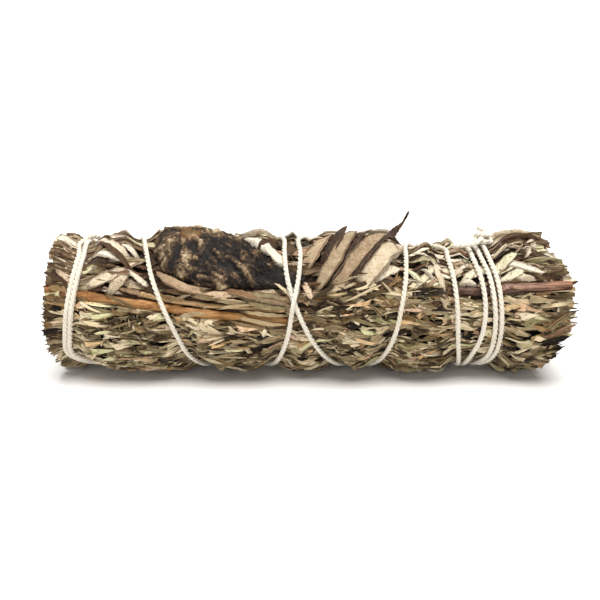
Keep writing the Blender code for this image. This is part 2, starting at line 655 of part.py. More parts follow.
# Twine
def twine_solid(name, radius, collection):
    """The whole twine with its knot, with points close together only where it humps over a crossing."""
    points = []
    step = COARSE_STEP // TWINE_STEP
    for k, (angle, x, lift) in enumerate(ROUTE):
        if k % step == 0 or lift > 0.12 * TWINE or k == len(ROUTE) - 1:
            points.append(place(x, angle, seat_radius(x, angle) + TWINE / 2 - SUNK + lift))
    twine = rod(name, points, radius, collection, bevel_resolution=1)
    for number, marks in enumerate(KNOT_STRANDS):
        strand = [knot_point(*mark) for mark in marks]
        rod(f"{name}_knot_{number}", strand, radius, name + " knot", bevel_resolution=1)
    combine(twine, "UNION", bpy.data.collections[name + " knot"])
    return twine


# The knot's two loops and its two cut tails, as (x in mm, degrees, height in mm) from the knot's place
KNOT_STRANDS = (
    ((-2.6, -6, 0.8), (-1.8, 2, 2.9), (1.8, 2, 2.9), (2.6, -6, 0.8), (0.8, -12, 1.6), (-2.6, -6, 0.8)),
    ((-0.8, 7, 1.2), (-2.3, 0, 2.9), (0.2, -7, 3.2), (2.3, 0, 2.9), (0.8, 7, 1.2)),
    ((0.0, -2, 1.8), (-1.6, -13, 2.4), (-3.6, -21, 2.2), (-7.0, -23, 1.9), (-10.4, -22, 1.5)),
    ((0.2, 0, 1.8), (1.2, 3, 3.4), (0.6, 6, 4.6), (-0.8, 8, 5.2)),
)


def knot_point(x, turn, rise):
    base = seat_radius(KNOT_X * MM, KNOT_ANGLE) + TWINE / 2 - SUNK
    return place((KNOT_X + x) * MM, KNOT_ANGLE + turn, base + rise * MM)


# The whole bundle
def dress(obj, finish_of_piece, rounded=False):
    obj.data.materials.clear()
    obj.data.materials.append(finish_of_piece)
    if rounded:
        obj.data.shade_smooth()
        obj.data.set_sharp_from_angle(angle=math.radians(60))


def space_below_the_floor():
    """The block under z = 0, which presses the lowest leaves flat."""
    depth = 20 * MM
    bm = bmesh.new()
    bmesh.ops.create_cube(bm, size=1)
    bmesh.ops.scale(bm, vec=(2 * LENGTH, 4 * SEAT_RADIUS, depth), verts=bm.verts)
    bmesh.ops.translate(bm, vec=(0, 0, -depth / 2), verts=bm.verts)
    return object_from(bm, "below_the_floor", "cutters")


def build():
    for obj in list(bpy.data.objects):
        bpy.data.objects.remove(obj)
    green = finish("sagebrush leaf", HERB_GREEN, 0.85)
    pale = finish("white sage leaf", HERB_PALE, 0.85)
    dark = finish("dark sage leaf", HERB_DARK, 0.8)
    orange = finish("peeled stem", BARK_ORANGE, 0.6)
    brown = finish("bark", BARK_BROWN, 0.75)
    cotton = finish("cotton twine", COTTON, 0.9)
    sprigs = outer_sprigs()

    cutters = []
    add_stem("stem_orange", outer_stem_points(ORANGE_STEM, ORANGE_RADIUS), ORANGE_RADIUS, orange, cutters)
    add_stem("stem_side_shoot", outer_stem_points(SIDE_STEM, SIDE_RADIUS), SIDE_RADIUS, orange, cutters)
    add_stem("stem_brown", outer_stem_points(BROWN_STEM, BROWN_RADIUS), BROWN_RADIUS, brown, cutters)
    for k, (name, start, end) in enumerate(sprigs):
        points = inner_stem_points((start(0) + end(0)) / 2, INNER_STEM_DISTANCE, random.Random(40 + k))
        add_stem(f"stem_in_{name}", points, (1.25 + 0.3 * (k % 3)) * MM, brown, cutters, runs_through=True)
    heart_bores = []
    for k in range(3):
        points = inner_stem_points(40 + 120 * k, HEART_STEM_DISTANCE, random.Random(70 + k))
        name = f"stem_in_heart_{k + 1}"
        add_stem(name, points, (1.9 - 0.25 * k) * MM, brown, heart_bores, runs_through=True)

    twine = twine_solid("twine", TWINE / 2, "smudge stick")
    keep_main_body(twine)
    dress(twine, cotton, rounded=True)
    cutters.append(twine_solid("twine_groove", TWINE / 2 + 0.9 * CLEAR, "cutters"))
    dress(dark_leaf("dark_sage_leaf", "smudge stick", DARK_THICKNESS), dark)
    cutters.append(dark_leaf("dark_leaf_space", "cutters", DARK_THICKNESS + 2.6 * CLEAR, margin=0.08))
    floor = space_below_the_floor()

    for k, (name, start, end) in enumerate(sprigs):
        rng = random.Random(10 + k)
        body = packed_sprig(name, start, end)
        if name == "white_sage_front":
            front_leaves(name)
        elif name == "white_sage_back":
            broad_leaves(name, start, end, rng)
        elif name == "sagebrush_underside":
            narrow_leaves(name, start, end, k % 2 == 0, 3, 1.6, rng)
        else:
            narrow_leaves(name, start, end, k % 2 == 0, round((end(0) - start(0)) / 11.5), 0.0, rng)
        cut_ends(name, start, end, HEART_RADIUS + CLEAR, SEAT_RADIUS, 4, rng)
        combine(body, "UNION", bpy.data.collections[name + " leaves"])
        for cutter in cutters:
            if boxes_meet(body, cutter):
                combine(body, "DIFFERENCE", cutter)
        if boxes_meet(body, floor):
            combine(body, "DIFFERENCE", floor)
        keep_main_body(body)
        dress(body, pale if name.startswith("white") else green)

    heart = heart_sprig("sprig_heart")
    for bore in heart_bores:
        combine(heart, "DIFFERENCE", bore)
    keep_main_body(heart)
    dress(heart, green)
    for cutter in list(bpy.data.collections["cutters"].objects):
        bpy.data.objects.remove(cutter)


build()
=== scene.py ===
"""Sage smudge stick: sprigs of sagebrush and white sage, cut to one length and bound with cotton twine.

Sizes are in millimetres and angles in degrees. Angles round the bundle run from 0 at the front (-Y) over
90 at the top and 180 at the back to 270 underneath."""

import math
import random

import bpy
import numpy as np
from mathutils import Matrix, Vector, noise
from mathutils.kdtree import KDTree


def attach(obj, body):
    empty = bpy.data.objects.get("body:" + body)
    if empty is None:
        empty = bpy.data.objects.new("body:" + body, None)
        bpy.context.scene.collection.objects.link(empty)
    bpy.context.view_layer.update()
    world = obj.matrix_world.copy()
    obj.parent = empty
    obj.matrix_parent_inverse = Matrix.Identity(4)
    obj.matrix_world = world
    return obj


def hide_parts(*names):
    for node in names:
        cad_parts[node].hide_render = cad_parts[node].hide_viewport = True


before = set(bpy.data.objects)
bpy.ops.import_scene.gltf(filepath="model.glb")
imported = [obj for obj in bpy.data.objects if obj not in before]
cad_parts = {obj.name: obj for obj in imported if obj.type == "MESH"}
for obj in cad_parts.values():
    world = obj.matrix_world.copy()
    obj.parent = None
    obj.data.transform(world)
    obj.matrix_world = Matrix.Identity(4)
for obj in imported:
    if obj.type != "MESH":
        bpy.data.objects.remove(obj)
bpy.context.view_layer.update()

# Cotton twine, an off-white string of three plies twisted together, 1.5 mm thick. One length is wound from
# the knot near the right end to the left end and back, pulled tight into the herbs, and tied on top in two
# loops with two cut tails. Where it presses, the herbs are drawn in, so it gives the whole bundle its form.
LENGTH = 156  # from cut to cut
SEAT_RADIUS = 19.0  # of the herbs under the twine
SWELL = 2.1  # how far they swell between the turns
SWELL_REACH = 4.8  # distance from a turn at which they have swelled fully
OVAL = 0.03  # how much wider than tall the bundle is
CLEAR = 0.35  # how far the leaves' beds stay below the full form
TWINE = 1.5  # thickness
SUNK = 0.2  # how deep it is pulled in
PLY_TWIST = 4.6  # length of one turn of its plies
TOP_CUT, BOTTOM_CUT = 5.5, 6.0  # how much shorter the right end is at its top and underneath
CUT_REACH = 56  # x from which its leaves lean back toward that cut
AXIS_HEIGHT = (1 - OVAL) * SEAT_RADIUS + SWELL - CLEAR - 0.4
# The uneven top, as (x, how far it stands out), and the x at which each turn of the twine passes its angles.
CREST = (
    (-80, 2.4), (-70, 1.8), (-50, 2), (-22, 0.8), (-6, 2.2), (12, 2), (25, 1), (34, -0.8), (50, -0.8),
    (58, 0.9), (72, 1.6), (80, 1.8),
)
TWINE_ANGLES = (200, 235, 270, 300, 325, 350, 375, 400, 425, 450)
TWINE_TURNS = (
    (48.5, 47.6, 46.3, 46.3, 45.1, 43.7, 43.1, 42.4, 41.6, 41.3),
    (20, 16, 12.5, 8.9, 4.2, -0.5, -4.4, -7, -7.9, -8.3),
    (-19, -26.5, -30.5, -33.3, -36.8, -39.8, -43.5, -47, -49.4, -51.7),
    (-61, -61.5, -62.5, -66.9, -72.4, -71.6, -70.4, -69.1, -68.5, -69.3),
    (-68.5, -66.5, -64.6, -68.5, -73.8, -73, -71.8, -70.5, -69.9, -70.7),
    (-40, -27.5, -19, -12, -9.1, -6.7, -5.3, -3.6, -3.1, -3.6),
    (12, 14.5, 16.7, 19.3, 22.3, 25, 26.7, 28.1, 28.8, 29.6),
    (41, 47.4, 48.3, 48.2, 48.9, 50.9, 51.4, 50.6, 49.3, 49.2),
    (47.5, 50.5, 50.9, 51.9, 54.1, 54.6, 54.2, 53.2, 51.7, 51.5),
    (51, 52.8, 52.7, 53.7, 55.9, 56.4, 56.1, 55.2, 53.9, 53.8),
)
KNOT_X, KNOT_ANGLE = 54.2, 100
# Its two loops and two tails, as (x from the knot, angle from the knot, height).
KNOT_STRANDS = (
    ((-2.6, -6, 0.8), (-1.8, 2, 2.9), (1.8, 2, 2.9), (2.6, -6, 0.8), (0.8, -12, 1.6), (-2.6, -6, 0.8)),
    ((-0.8, 7, 1.2), (-2.3, 0, 2.9), (0.2, -7, 3.2), (2.3, 0, 2.9), (0.8, 7, 1.2)),
    ((0, -2, 1.8), (-1.6, -13, 2.4), (-3.6, -21, 2.2), (-7, -23, 1.9), (-10.4, -22, 1.5)),
    ((0.2, 0, 1.8), (1.2, 3, 3.4), (0.6, 6, 4.6), (-0.8, 8, 5.2)),
)
CROSSING_SPREAD, CROSSING_LIFT = 2.6, 1.12 * TWINE  # of the hump where the twine crosses itself
FIBRES = 750  # that stand off it


def smooth(value):
    """0 below 0, 1 above 1, and an even S between."""
    value = np.clip(value, 0, 1)
    return value * value * (3 - 2 * value)


def between(table, x):
    return np.interp(x, *np.array(table, float).T)


def seat_radius(x, angle):
    """Radius of the herbs under the twine: wider than tall, uneven on top, and narrower at both ends."""
    a = np.radians(angle)
    crest = between(CREST, x) * ((1 + np.sin(a)) / 2) ** 4
    return SEAT_RADIUS * (1 + OVAL * np.cos(2 * a) - 0.055 * np.abs(2 * x / LENGTH) ** 4) + crest


def place(x, angle, radius):
    """The points at that distance from the axis. The right end is cut shorter at its top and underneath."""
    a = np.radians(angle)
    cut = TOP_CUT * smooth((np.sin(a) - 0.62) / 0.32) + BOTTOM_CUT * smooth((-np.sin(a) - 0.05) / 0.65)
    cut = cut * np.minimum(radius / SEAT_RADIUS, 1) * smooth((x - CUT_REACH) / 22)
    point = np.broadcast_arrays(x - cut, -radius * np.cos(a), AXIS_HEIGHT + radius * np.sin(a))
    return np.stack(point, axis=-1)


def twine_crossings(angle, x):
    """Where a later stretch of the twine passes over an earlier one, as (angle, x) on the later stretch."""
    late, early = np.tril_indices(len(angle) - 1, -31)
    turns = 360 * np.round((angle[late] - angle[early]) / 360)
    low = np.maximum(angle[late], angle[early] + turns)
    high = np.minimum(angle[late + 1], angle[early + 1] + turns)

    def reached(spot, k):
        return x[k] + (x[k + 1] - x[k]) * (spot - angle[k]) / (angle[k + 1] - angle[k])

    gaps = [reached(spot, late) - reached(spot - turns, early) for spot in (low, high)]
    met, middle = (low < high) & (gaps[0] * gaps[1] < 0), (low + high) / 2
    return zip(middle[met], reached(middle, late)[met])


def twine_route():
    """The twine's angle, x and lift, every few degrees; the lift is the hump where it crosses itself."""
    angles = np.add.outer(360 * np.arange(len(TWINE_TURNS)), TWINE_ANGLES)
    first, last = (KNOT_ANGLE, KNOT_X), (KNOT_ANGLE + 360 * len(TWINE_TURNS), KNOT_X)
    marks = np.array([first, first, *zip(angles.ravel(), np.ravel(TWINE_TURNS)), last, last])
    route = []
    for before, start, end, after in zip(marks, marks[1:], marks[2:], marks[3:]):
        span = end[0] - start[0]
        slope_in = (end[1] - before[1]) / (end[0] - before[0])
        slope_out = (after[1] - start[1]) / (after[0] - start[0])
        t = np.arange(max(1, round(span / 6))) / max(1, round(span / 6))
        x = (2 * t**3 - 3 * t**2 + 1) * start[1] + (3 * t**2 - 2 * t**3) * end[1]
        x += (t**3 - 2 * t**2 + t) * slope_in * span + (t**3 - t**2) * slope_out * span
        route.append((start[0] + span * t, x))
    angle, x = np.concatenate((*route, marks[-1:].T), axis=1)
    lift = np.zeros(len(x))
    for hump_angle, hump_x in twine_crossings(angle, x):
        away = np.hypot((angle - hump_angle) * math.radians(1) * SEAT_RADIUS, x - hump_x)
        lift = np.maximum(lift, CROSSING_LIFT * np.exp(-((away / CROSSING_SPREAD) ** 2)))
    return angle, x, lift


def unit(vectors):
    return vectors / np.maximum(np.linalg.norm(vectors, axis=-1, keepdims=True), 1e-9)


def evenly(points, spacing):
    """The same line with its points a spacing apart, and its corners eased."""
    eased = points.copy()
    for _ in range(2):
        eased[1:-1] = (eased[:-2] + 2 * eased[1:-1] + eased[2:]) / 4
    run = np.concatenate(([0], np.cumsum(np.linalg.norm(np.diff(eased, axis=0), axis=1))))
    marks = np.linspace(0, run[-1], max(4, round(run[-1] / spacing)))
    return np.stack([np.interp(marks, run, eased[:, k]) for k in range(3)], axis=-1), marks


def frames(centre):
    """Along, out from the bundle's axis, and sideways, at each point of a line."""
    along = unit(np.gradient(centre, axis=0))
    out = centre - centre * (1, 0, 0) - (0, 0, AXIS_HEIGHT)
    out = unit(out - along * (out * along).sum(-1, keepdims=True))
    return along, out, np.cross(out, along)


def round_line(out, side, a):
    """Directions round each point of a line, from outwards at 0 to sideways at a quarter turn."""
    return out[..., None, :] * np.cos(a)[:, None] + side[..., None, :] * np.sin(a)[:, None]


def draws(rng, count):
    """Chance for that many leaves at a time: one draw spread evenly, and one in a bell shape."""
    even = lambda low, high: rng.uniform(low, high, count)
    return even, lambda middle, spread: rng.normal(middle, spread, count)


def linked(name, data):
    made = bpy.data.objects.new(name, data)
    bpy.context.scene.collection.objects.link(made)
    return made


class Piece:
    """The closed skins of one piece, each a stack of rings. A point's tint holds four values from 0 to 1
    for the finish: its leaf's tone, its place from root to tip, its place from rib to edge, and a hue."""

    def __init__(self):
        self.skins = []

    def add(self, rings, tone, along, across, hue):
        shape = rings.shape[:3]
        tint = np.stack([np.broadcast_to(value, shape) for value in (tone, along, across, hue)], axis=-1)
        self.skins.append((rings, tint))

    def make(self, name, finish, slot, *nodes, sharp=50):
        """Makes one object of all the skins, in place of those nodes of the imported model."""
        corners, sizes, count = [], [], 0
        for rings, _ in self.skins:
            index = count + np.arange(rings.size // 3).reshape(rings.shape[:3])
            beside = np.roll(index, -1, axis=2)
            sides = np.stack((index[:, :-1], index[:, 1:], beside[:, 1:], beside[:, :-1]), axis=-1)
            ends = np.concatenate((index[:, 0], index[:, -1, ::-1]))
            corners += [sides.ravel(), ends.ravel()]
            sizes += [np.full(sides.size // 4, 4), np.full(len(ends), ends.shape[1])]
            count += index.size
        corners, sizes = np.concatenate(corners), np.concatenate(sizes)
        points = np.concatenate([rings.reshape(-1, 3) for rings, _ in self.skins]) * 0.001
        tints = np.concatenate([tint.reshape(-1, 4) for _, tint in self.skins])
        mesh = bpy.data.meshes.new(name)
        mesh.vertices.add(len(points))
        mesh.vertices.foreach_set("co", points.astype(np.float32).ravel())
        mesh.loops.add(len(corners))
        mesh.loops.foreach_set("vertex_index", corners.astype(np.int32))
        mesh.polygons.add(len(sizes))
        mesh.polygons.foreach_set("loop_start", (np.cumsum(sizes) - sizes).astype(np.int32))
        mesh.update(calc_edges=True)
        mesh.color_attributes.new("tint", "FLOAT_COLOR", "POINT")
        mesh.color_attributes["tint"].data.foreach_set("color", tints.astype(np.float32).ravel())
        mesh.shade_smooth()
        mesh.set_sharp_from_angle(angle=math.radians(sharp))
        mesh.materials.append(finish.material)
        made = linked(name, mesh)
        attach(made, "root")
        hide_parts(*nodes)


class Wire:
    """A socket of a finish. Arithmetic on it adds Math nodes."""

    def __init__(self, finish, socket):
        self.finish, self.socket = finish, socket

    def maths(self, operation, *values):
        return self.finish.node("ShaderNodeMath", {"operation": operation}, dict(enumerate(values)))

    def __add__(self, other):
        return self.maths("ADD", self, other)

    def __sub__(self, other):
        return self.maths("SUBTRACT", self, other)

    def __rsub__(self, other):
        return self.maths("SUBTRACT", other, self)

    def __mul__(self, other):
        return self.maths("MULTIPLY", self, other)

    __radd__, __rmul__ = __add__, __mul__

    def step(self, low, high):
        """0 up to low, 1 from high, and an even S between."""
        ranges = {"interpolation_type": "SMOOTHSTEP"}
        return self.finish.node("ShaderNodeMapRange", ranges, {0: self, 1: low, 2: high})


class Finish:
    """A finish of nodes on one Principled shader; what is the same all over is set on its own sockets."""

    def __init__(self, name, **constants):
        self.material = bpy.data.materials.new(name)
        self.material.use_nodes = True
        self.tree = self.material.node_tree
        self.shader = self.tree.nodes["Principled BSDF"]
        for socket, value in constants.items():
            self.shader.inputs[socket.replace("_", " ")].default_value = value
        tint = self.node("ShaderNodeVertexColor", {"layer_name": "tint"}, {})
        self.tone, self.along, self.across = (
            self.node("ShaderNodeSeparateColor", {}, {0: tint}, out=k) for k in range(3)
        )
        self.hue = Wire(self, tint.socket.node.outputs["Alpha"])

    def node(self, kind, settings, sockets, out=0):
        """A node with its settings made first, then its sockets' values or links. Gives one output."""
        made = self.tree.nodes.new(kind)
        for name, value in settings.items():
            if name == "stops":
                ramp = made.color_ramp.elements
                while len(ramp) < len(value):
                    ramp.new(1)
                for stop, (position, shade) in zip(ramp, value):
                    stop.position, stop.color = position, shade
            else:
                setattr(made, name, value)
        for name, value in sockets.items():
            self.feed(made.inputs[name], value)
        return Wire(self, made.outputs[out])

    def feed(self, socket, value):
        if isinstance(value, Wire):
            self.tree.links.new(value.socket, socket)
        else:
            socket.default_value = value

    def grain(self, size, detail=3):
        """Noise with grains of that size in mm, one size or three along X, Y and Z."""
        size = (size,) * 3 if isinstance(size, (int, float)) else size
        where = self.node("ShaderNodeTexCoord", {}, {}, out="Object")
        scale = tuple(1000 / one for one in size)
        where = self.node("ShaderNodeVectorMath", {"operation": "MULTIPLY"}, {0: where, 1: scale})
        sockets = {"Vector": where, "Scale": 1, "Detail": detail, "Roughness": 0.55}
        return self.node("ShaderNodeTexNoise", {}, sockets)

    def ramp(self, value, *stops):
        """Colours through stops of (position, red, green, blue), as in the shader."""
        stops = [(position, (*shade, 1)) for position, *shade in stops]
        return self.node("ShaderNodeValToRGB", {"stops": stops}, {0: value})

    def shades(self, value, *stops):
        """Colours through stops of (position, red, green, blue), as in a picture."""
        return self.ramp(value, *((position, *colour(*shade)[:3]) for position, *shade in stops))

    def mix(self, share, one, other, blend="MIX"):
        settings = {"data_type": "RGBA", "blend_type": blend}
        return self.node("ShaderNodeMix", settings, {0: share, 6: one, 7: other}, out=2)

    def done(self, shade, roughness, height, depth):
        """Joins the colour, the roughness and a bump of that depth in mm to the shader."""
        bump = {"Strength": 0.8, "Distance": depth * 0.001, "Height": height}
        self.feed(self.shader.inputs["Base Color"], shade)
        self.feed(self.shader.inputs["Roughness"], roughness)
        self.feed(self.shader.inputs["Normal"], self.node("ShaderNodeBump", {}, bump))
        return self


def colour(red, green, blue):
    """A colour from its values in a picture, 0 to 255."""
    return (*((value / 255) ** 2.2 for value in (red, green, blue)), 1)


def strand(piece, line):
    """Three plies twisted round each other along a line, fuller near the left end, where two turns touch."""
    centre, run = evenly(line, 0.72)
    radius = TWINE / 2 * (1 + 0.08 * smooth((-60 - centre[:, :1]) / 5))
    along, out, side = frames(centre)
    around = np.radians(np.arange(7) * 360 / 7)
    for ply in range(3):
        turn = 2 * np.pi * (run / PLY_TWIST + ply / 3)[:, None]
        middle = centre + 0.5 * radius * (out * np.cos(turn) + side * np.sin(turn))
        full = 1 + 0.05 * np.sin(run * 1.7 + ply)[:, None, None]
        rings = middle[:, None] + 0.54 * radius[:, None] * full * round_line(out, side, around)
        piece.add(rings[None], 0.5, (run / 400 % 1)[:, None], 0.5, ply / 3)


route_angle, route_x, route_lift = twine_route()
fine = np.arange(route_angle[0], route_angle[-1], 2.0)
route_x, route_lift = (np.interp(fine, route_angle, values) for values in (route_x, route_lift))
route_line = place(route_x, fine, seat_radius(route_x, fine) + TWINE / 2 - SUNK + route_lift)

twine = Piece()
strand(twine, route_line)
for marks in KNOT_STRANDS:
    spread = np.linspace(0, 1, 40), np.linspace(0, 1, len(marks))
    knot_x, turn, rise = (np.interp(*spread, values) for values in np.array(marks, float).T)
    base = seat_radius(KNOT_X, KNOT_ANGLE) + TWINE / 2 - SUNK
    strand(twine, place(KNOT_X + knot_x, KNOT_ANGLE + turn, base + rise))

# Loose cotton fibres that stand off the twine.
rng = np.random.default_rng(3)
even, _ = draws(rng, (FIBRES, 1, 1))
centre, _ = evenly(route_line, 0.5)
picked = rng.integers(2, len(centre) - 2, FIBRES)
along, out, side = (values[picked][:, None] for values in frames(centre))
turn = even(-1.7, 1.7)
away = out * np.cos(turn) + side * np.sin(turn)
t = np.linspace(0, 1, 5)[None, :, None]
reach = even(0.4, 2.4) * rng.choice((-1, 1), (FIBRES, 1, 1))
lines = centre[picked][:, None] + away * (0.6 + even(0.15, 0.6) * np.sin(2.6 * t)) + along * reach * t
thin = 0.025 * round_line(away, side, np.radians((90, 210, 330)))
twine.add(lines[:, :, None] + thin, 0.5, 0.5, 0.5, 0.5)

cotton = Finish("cotton twine", Sheen_Weight=0.25, Sheen_Roughness=0.6, Specular_IOR_Level=0.25)
fluff = cotton.grain((0.35, 0.12, 0.12), 4)
soiled = cotton.grain(9, 2).step(0.45, 0.75)
shade = cotton.mix(fluff, colour(200, 190, 170), colour(246, 241, 229))
cotton.done(cotton.mix(0.45 * soiled, shade, colour(214, 203, 176)), 0.9, fluff, 0.12)
twine.make("twine_plies", cotton, "cotton twine", "twine", sharp=80)

# Sagebrush sprigs, below and behind: thin twigs with narrow dry leaves, many of them three-toothed, grey
# green and felted. Each sprig is a packed wedge of the bundle whose outer leaves and tufts show, and at
# both ends its twigs and rolled leaves show where the bundle was cut.
SPLITS = (158, 202, 244, 292, 330)
HEART_RADIUS = 7.6
CORE_HALF = LENGTH / 2 - 1.8
TIP_REACH = 78.6  # x that leaf tips reach at both ends
MAIN_STEM = 11.7  # distance of an outer sprig's main stem from the axis
OUTER_SPRIG = HEART_RADIUS + 0.4, SEAT_RADIUS + 3  # distances between which an outer sprig is cut
UNROLLED = 20.0  # radius at which leaves are laid out flat, in mm along, round and out
GOLDEN = 0.618034  # steps of this share, taken round, fill a span evenly
# Lines and edges on the bundle, as (x, angle).
ORANGE_STEM = ((-78.3, 30), (-66, 25), (-49, 17), (-37, 11.5), (-22, 7), (-7.3, 2.5))
SIDE_STEM = ((-50, 26.5), (-41, 20.5), (-30, 16.5), (-18, 14.5), (-8, 12))
BROWN_STEM = ((40.5, 30), (50, 29.5), (58, 32), (68, 33), (77, 35))
FRONT_SPLIT = (*ORANGE_STEM, (10, 12), (26, 28), *BROWN_STEM[1:])
DARK_LOWER = ((-47.5, 66), (-43.5, 46), (-36, 35), (-27, 29.5), (-16, 29.5), (-7, 31.5), (-2.4, 36))
DARK_UPPER = ((-48, 92), (-45, 118), (-37, 124), (-28, 120), (-19, 82), (-12.5, 57), (-1.2, 45))
BEDS = [(np.array(DARK_LOWER, float).T, np.array(DARK_UPPER, float).T)]
for marks, half in ((ORANGE_STEM, 3.6), (SIDE_STEM, 2.2), (BROWN_STEM, 4.4)):
    first, middle = np.array(marks, float).T
    BEDS.append(((first, middle - half), (first, middle + half)))

# How far the herbs have swelled at each spot of a grid along and round the bundle, from 0 to 1, by its
# distance from the nearest twine.
NEAR = KDTree(len(route_line))
for number, point in enumerate(place(route_x, fine, seat_radius(route_x, fine))):
    NEAR.insert(point, number)
NEAR.balance()
GRID_LEFT, GRID_STEP, GRID_TURN = -84, 0.8, 3
GRID_X, GRID_ANGLE = np.meshgrid(
    np.arange(GRID_LEFT, 1 - GRID_LEFT, GRID_STEP), np.arange(0, 360, GRID_TURN), indexing="ij"
)
SEATS = place(GRID_X, GRID_ANGLE, seat_radius(GRID_X, GRID_ANGLE)).reshape(-1, 3)
GIVE = np.array([NEAR.find(point)[2] for point in SEATS]).reshape(GRID_X.shape)
GIVE = smooth((GIVE - 0.8 * TWINE) / SWELL_REACH)


def swelled(x, angle):
    """0 under the twine and 1 where the herbs have swelled fully."""
    i = np.clip((x - GRID_LEFT) / GRID_STEP, 0, len(GIVE) - 1.001)
    j = np.mod(angle, 360) / GRID_TURN % (GIVE.shape[1] - 0.0001)
    i0, j0 = i.astype(int), j.astype(int)
    i, j, j1 = i - i0, j - j0, (j0 + 1) % GIVE.shape[1]
    left = GIVE[i0, j0] * (1 - j) + GIVE[i0, j1] * j
    right = GIVE[i0 + 1, j0] * (1 - j) + GIVE[i0 + 1, j1] * j
    return left * (1 - i) + right * i


def held(height, limit, share):
    """Heights past a limit keep only that share of what is past it."""
    return np.where(height > limit, limit + share * (height - limit), height)


def lay(flat, over=False):
    """Brings points from the unrolled sheet (x, round, out) onto the herbs: pressed down under the twine and
    against the surface below, and below the stems and the dark leaf, unless they lie over them."""
    x, height = flat[..., 0], flat[..., 2]
    angle = np.degrees(flat[..., 1] / UNROLLED)
    turned = (angle + 90) % 360 - 90
    for (first, low), (last, high) in () if over else BEDS:
        aside = np.maximum(np.interp(x, first, low) - turned, turned - np.interp(x, last, high)) / 4
        aside = np.maximum(aside, np.maximum(first[0] - x, x - first[-1]) / 1.5)
        height = held(height, -2.0 + 3.5 * np.clip(aside, 0, None), 0.06)
    give = swelled(x, angle)
    pressed = np.clip(height, 0, 1.5)
    height = height - pressed + pressed * (0.12 + 0.88 * give)
    points = place(x, angle, seat_radius(x, angle) - CLEAR + SWELL * give + height)
    low = points[..., 2] < 0.5
    points[..., 2] = np.where(low, 0.5 * np.exp(np.minimum(points[..., 2] - 0.5, 0) / 0.5), points[..., 2])
    return points


def on_sheet(x, angle, height):
    return np.stack((x, np.radians(angle) * UNROLLED, height), axis=-1)


def paths(root, length, lean, pitch, bow, sway, stations):
    """Leaf ribs on the unrolled sheet from their roots, bowed outwards and swayed sideways."""
    t = np.linspace(0, 1, stations)[None] ** 0.9
    s = t * length[:, None]
    lean, pitch = np.radians(lean)[:, None], np.radians(pitch)[:, None]
    side = sway[:, None] * t**2
    x = s * np.cos(pitch) * np.cos(lean) - side * np.sin(lean)
    y = s * np.cos(pitch) * np.sin(lean) + side * np.cos(lean)
    z = s * np.sin(pitch) + bow[:, None] * 4 * t * (1 - t)
    return root[:, None] + np.stack((x, y, z), axis=-1)


def square_to(rib):
    """Sideways and outwards at each point of ribs on the unrolled sheet."""
    along = unit(np.gradient(rib, axis=1))
    side = unit(np.stack((-along[..., 1], along[..., 0] + 1e-6, 0 * along[..., 0]), axis=-1))
    return side, np.cross(along, side)


def blades(
    piece, rib, width, outline, tone, hue,
    across=4, thick=0.32, roll=0, twist=0, cup=0.8, curl=0, wrinkle=0, groove=0, end=1.0, over=False,
):
    """Closed leaf blades along ribs on the unrolled sheet. cup bends the whole blade, and curl its edges."""
    count, stations = rib.shape[:2]
    per_leaf = lambda value: np.broadcast_to(np.asarray(value, float), (count,))[:, None, None]
    t = np.linspace(0, 1, stations)[None, :, None]
    u = np.linspace(-1, 1, across)
    bend = per_leaf(cup) * u + per_leaf(curl) * np.sign(u) * np.clip((np.abs(u) - 0.55) / 0.45, 0, 1) ** 1.5
    bend = np.broadcast_to(bend, (count, 1, across))
    step = 2 / (across - 1)
    half = (bend[..., 1:] + bend[..., :-1]) / 2
    y, z = (np.insert(np.cumsum(part(half) * step, -1), 0, 0, axis=-1) for part in (np.cos, np.sin))
    y, z = y - y.mean(-1, keepdims=True), z - z[..., across // 2 : across // 2 + 1]
    order = np.append(np.arange(across), np.arange(across - 2, 0, -1))
    face = np.repeat((1, -1), (across, across - 2))
    u, y, z, bend = u[order], y[..., order], z[..., order], bend[..., order]
    seed = per_leaf(tone) * 40 + per_leaf(hue) * 90
    ragged = 1 + 0.07 * np.sin(t * 23 + seed) * np.sign(u) + 0.05 * np.sin(t * 41 + seed * 2)
    half_width = np.interp(t, *np.array(outline).T) * per_leaf(width) / 2 * ragged
    lift = face * thick / 2 * (1 - u**4) * np.minimum(1, 0.25 + np.minimum(t, end - t + 0.05) * 6)
    if np.any(wrinkle):
        lift = lift + per_leaf(wrinkle) * np.sin(t * 29 + 3.1 * u + seed) * np.cos(5.5 * u + seed * 3 + 9 * t)
        lift = lift + per_leaf(wrinkle) * 0.6 * np.sin(t * 53 - 6 * np.abs(u) + seed * 5)
    lift = lift - groove * np.exp(-((u / 0.13) ** 2)) * (1 - t)
    y, z = y * half_width - np.sin(bend) * lift, z * half_width + np.cos(bend) * lift
    turn = np.radians(per_leaf(roll) + per_leaf(twist) * (t - 0.3))
    y, z = y * np.cos(turn) - z * np.sin(turn), y * np.sin(turn) + z * np.cos(turn)
    side, out = square_to(rib)
    flat = rib[:, :, None] + y[..., None] * side[:, :, None] + z[..., None] * out[:, :, None]
    piece.add(lay(flat, over), per_leaf(tone), t, np.abs(u), per_leaf(hue))


def wavy(angle):
    return lambda x: angle + 2.5 * np.sin(0.07 * x + angle)


def part_way(edges, x, share):
    """The angle at that share of the way between a sprig's two edges."""
    first, last = (edge(x) for edge in edges)
    return first + (last - first) * share


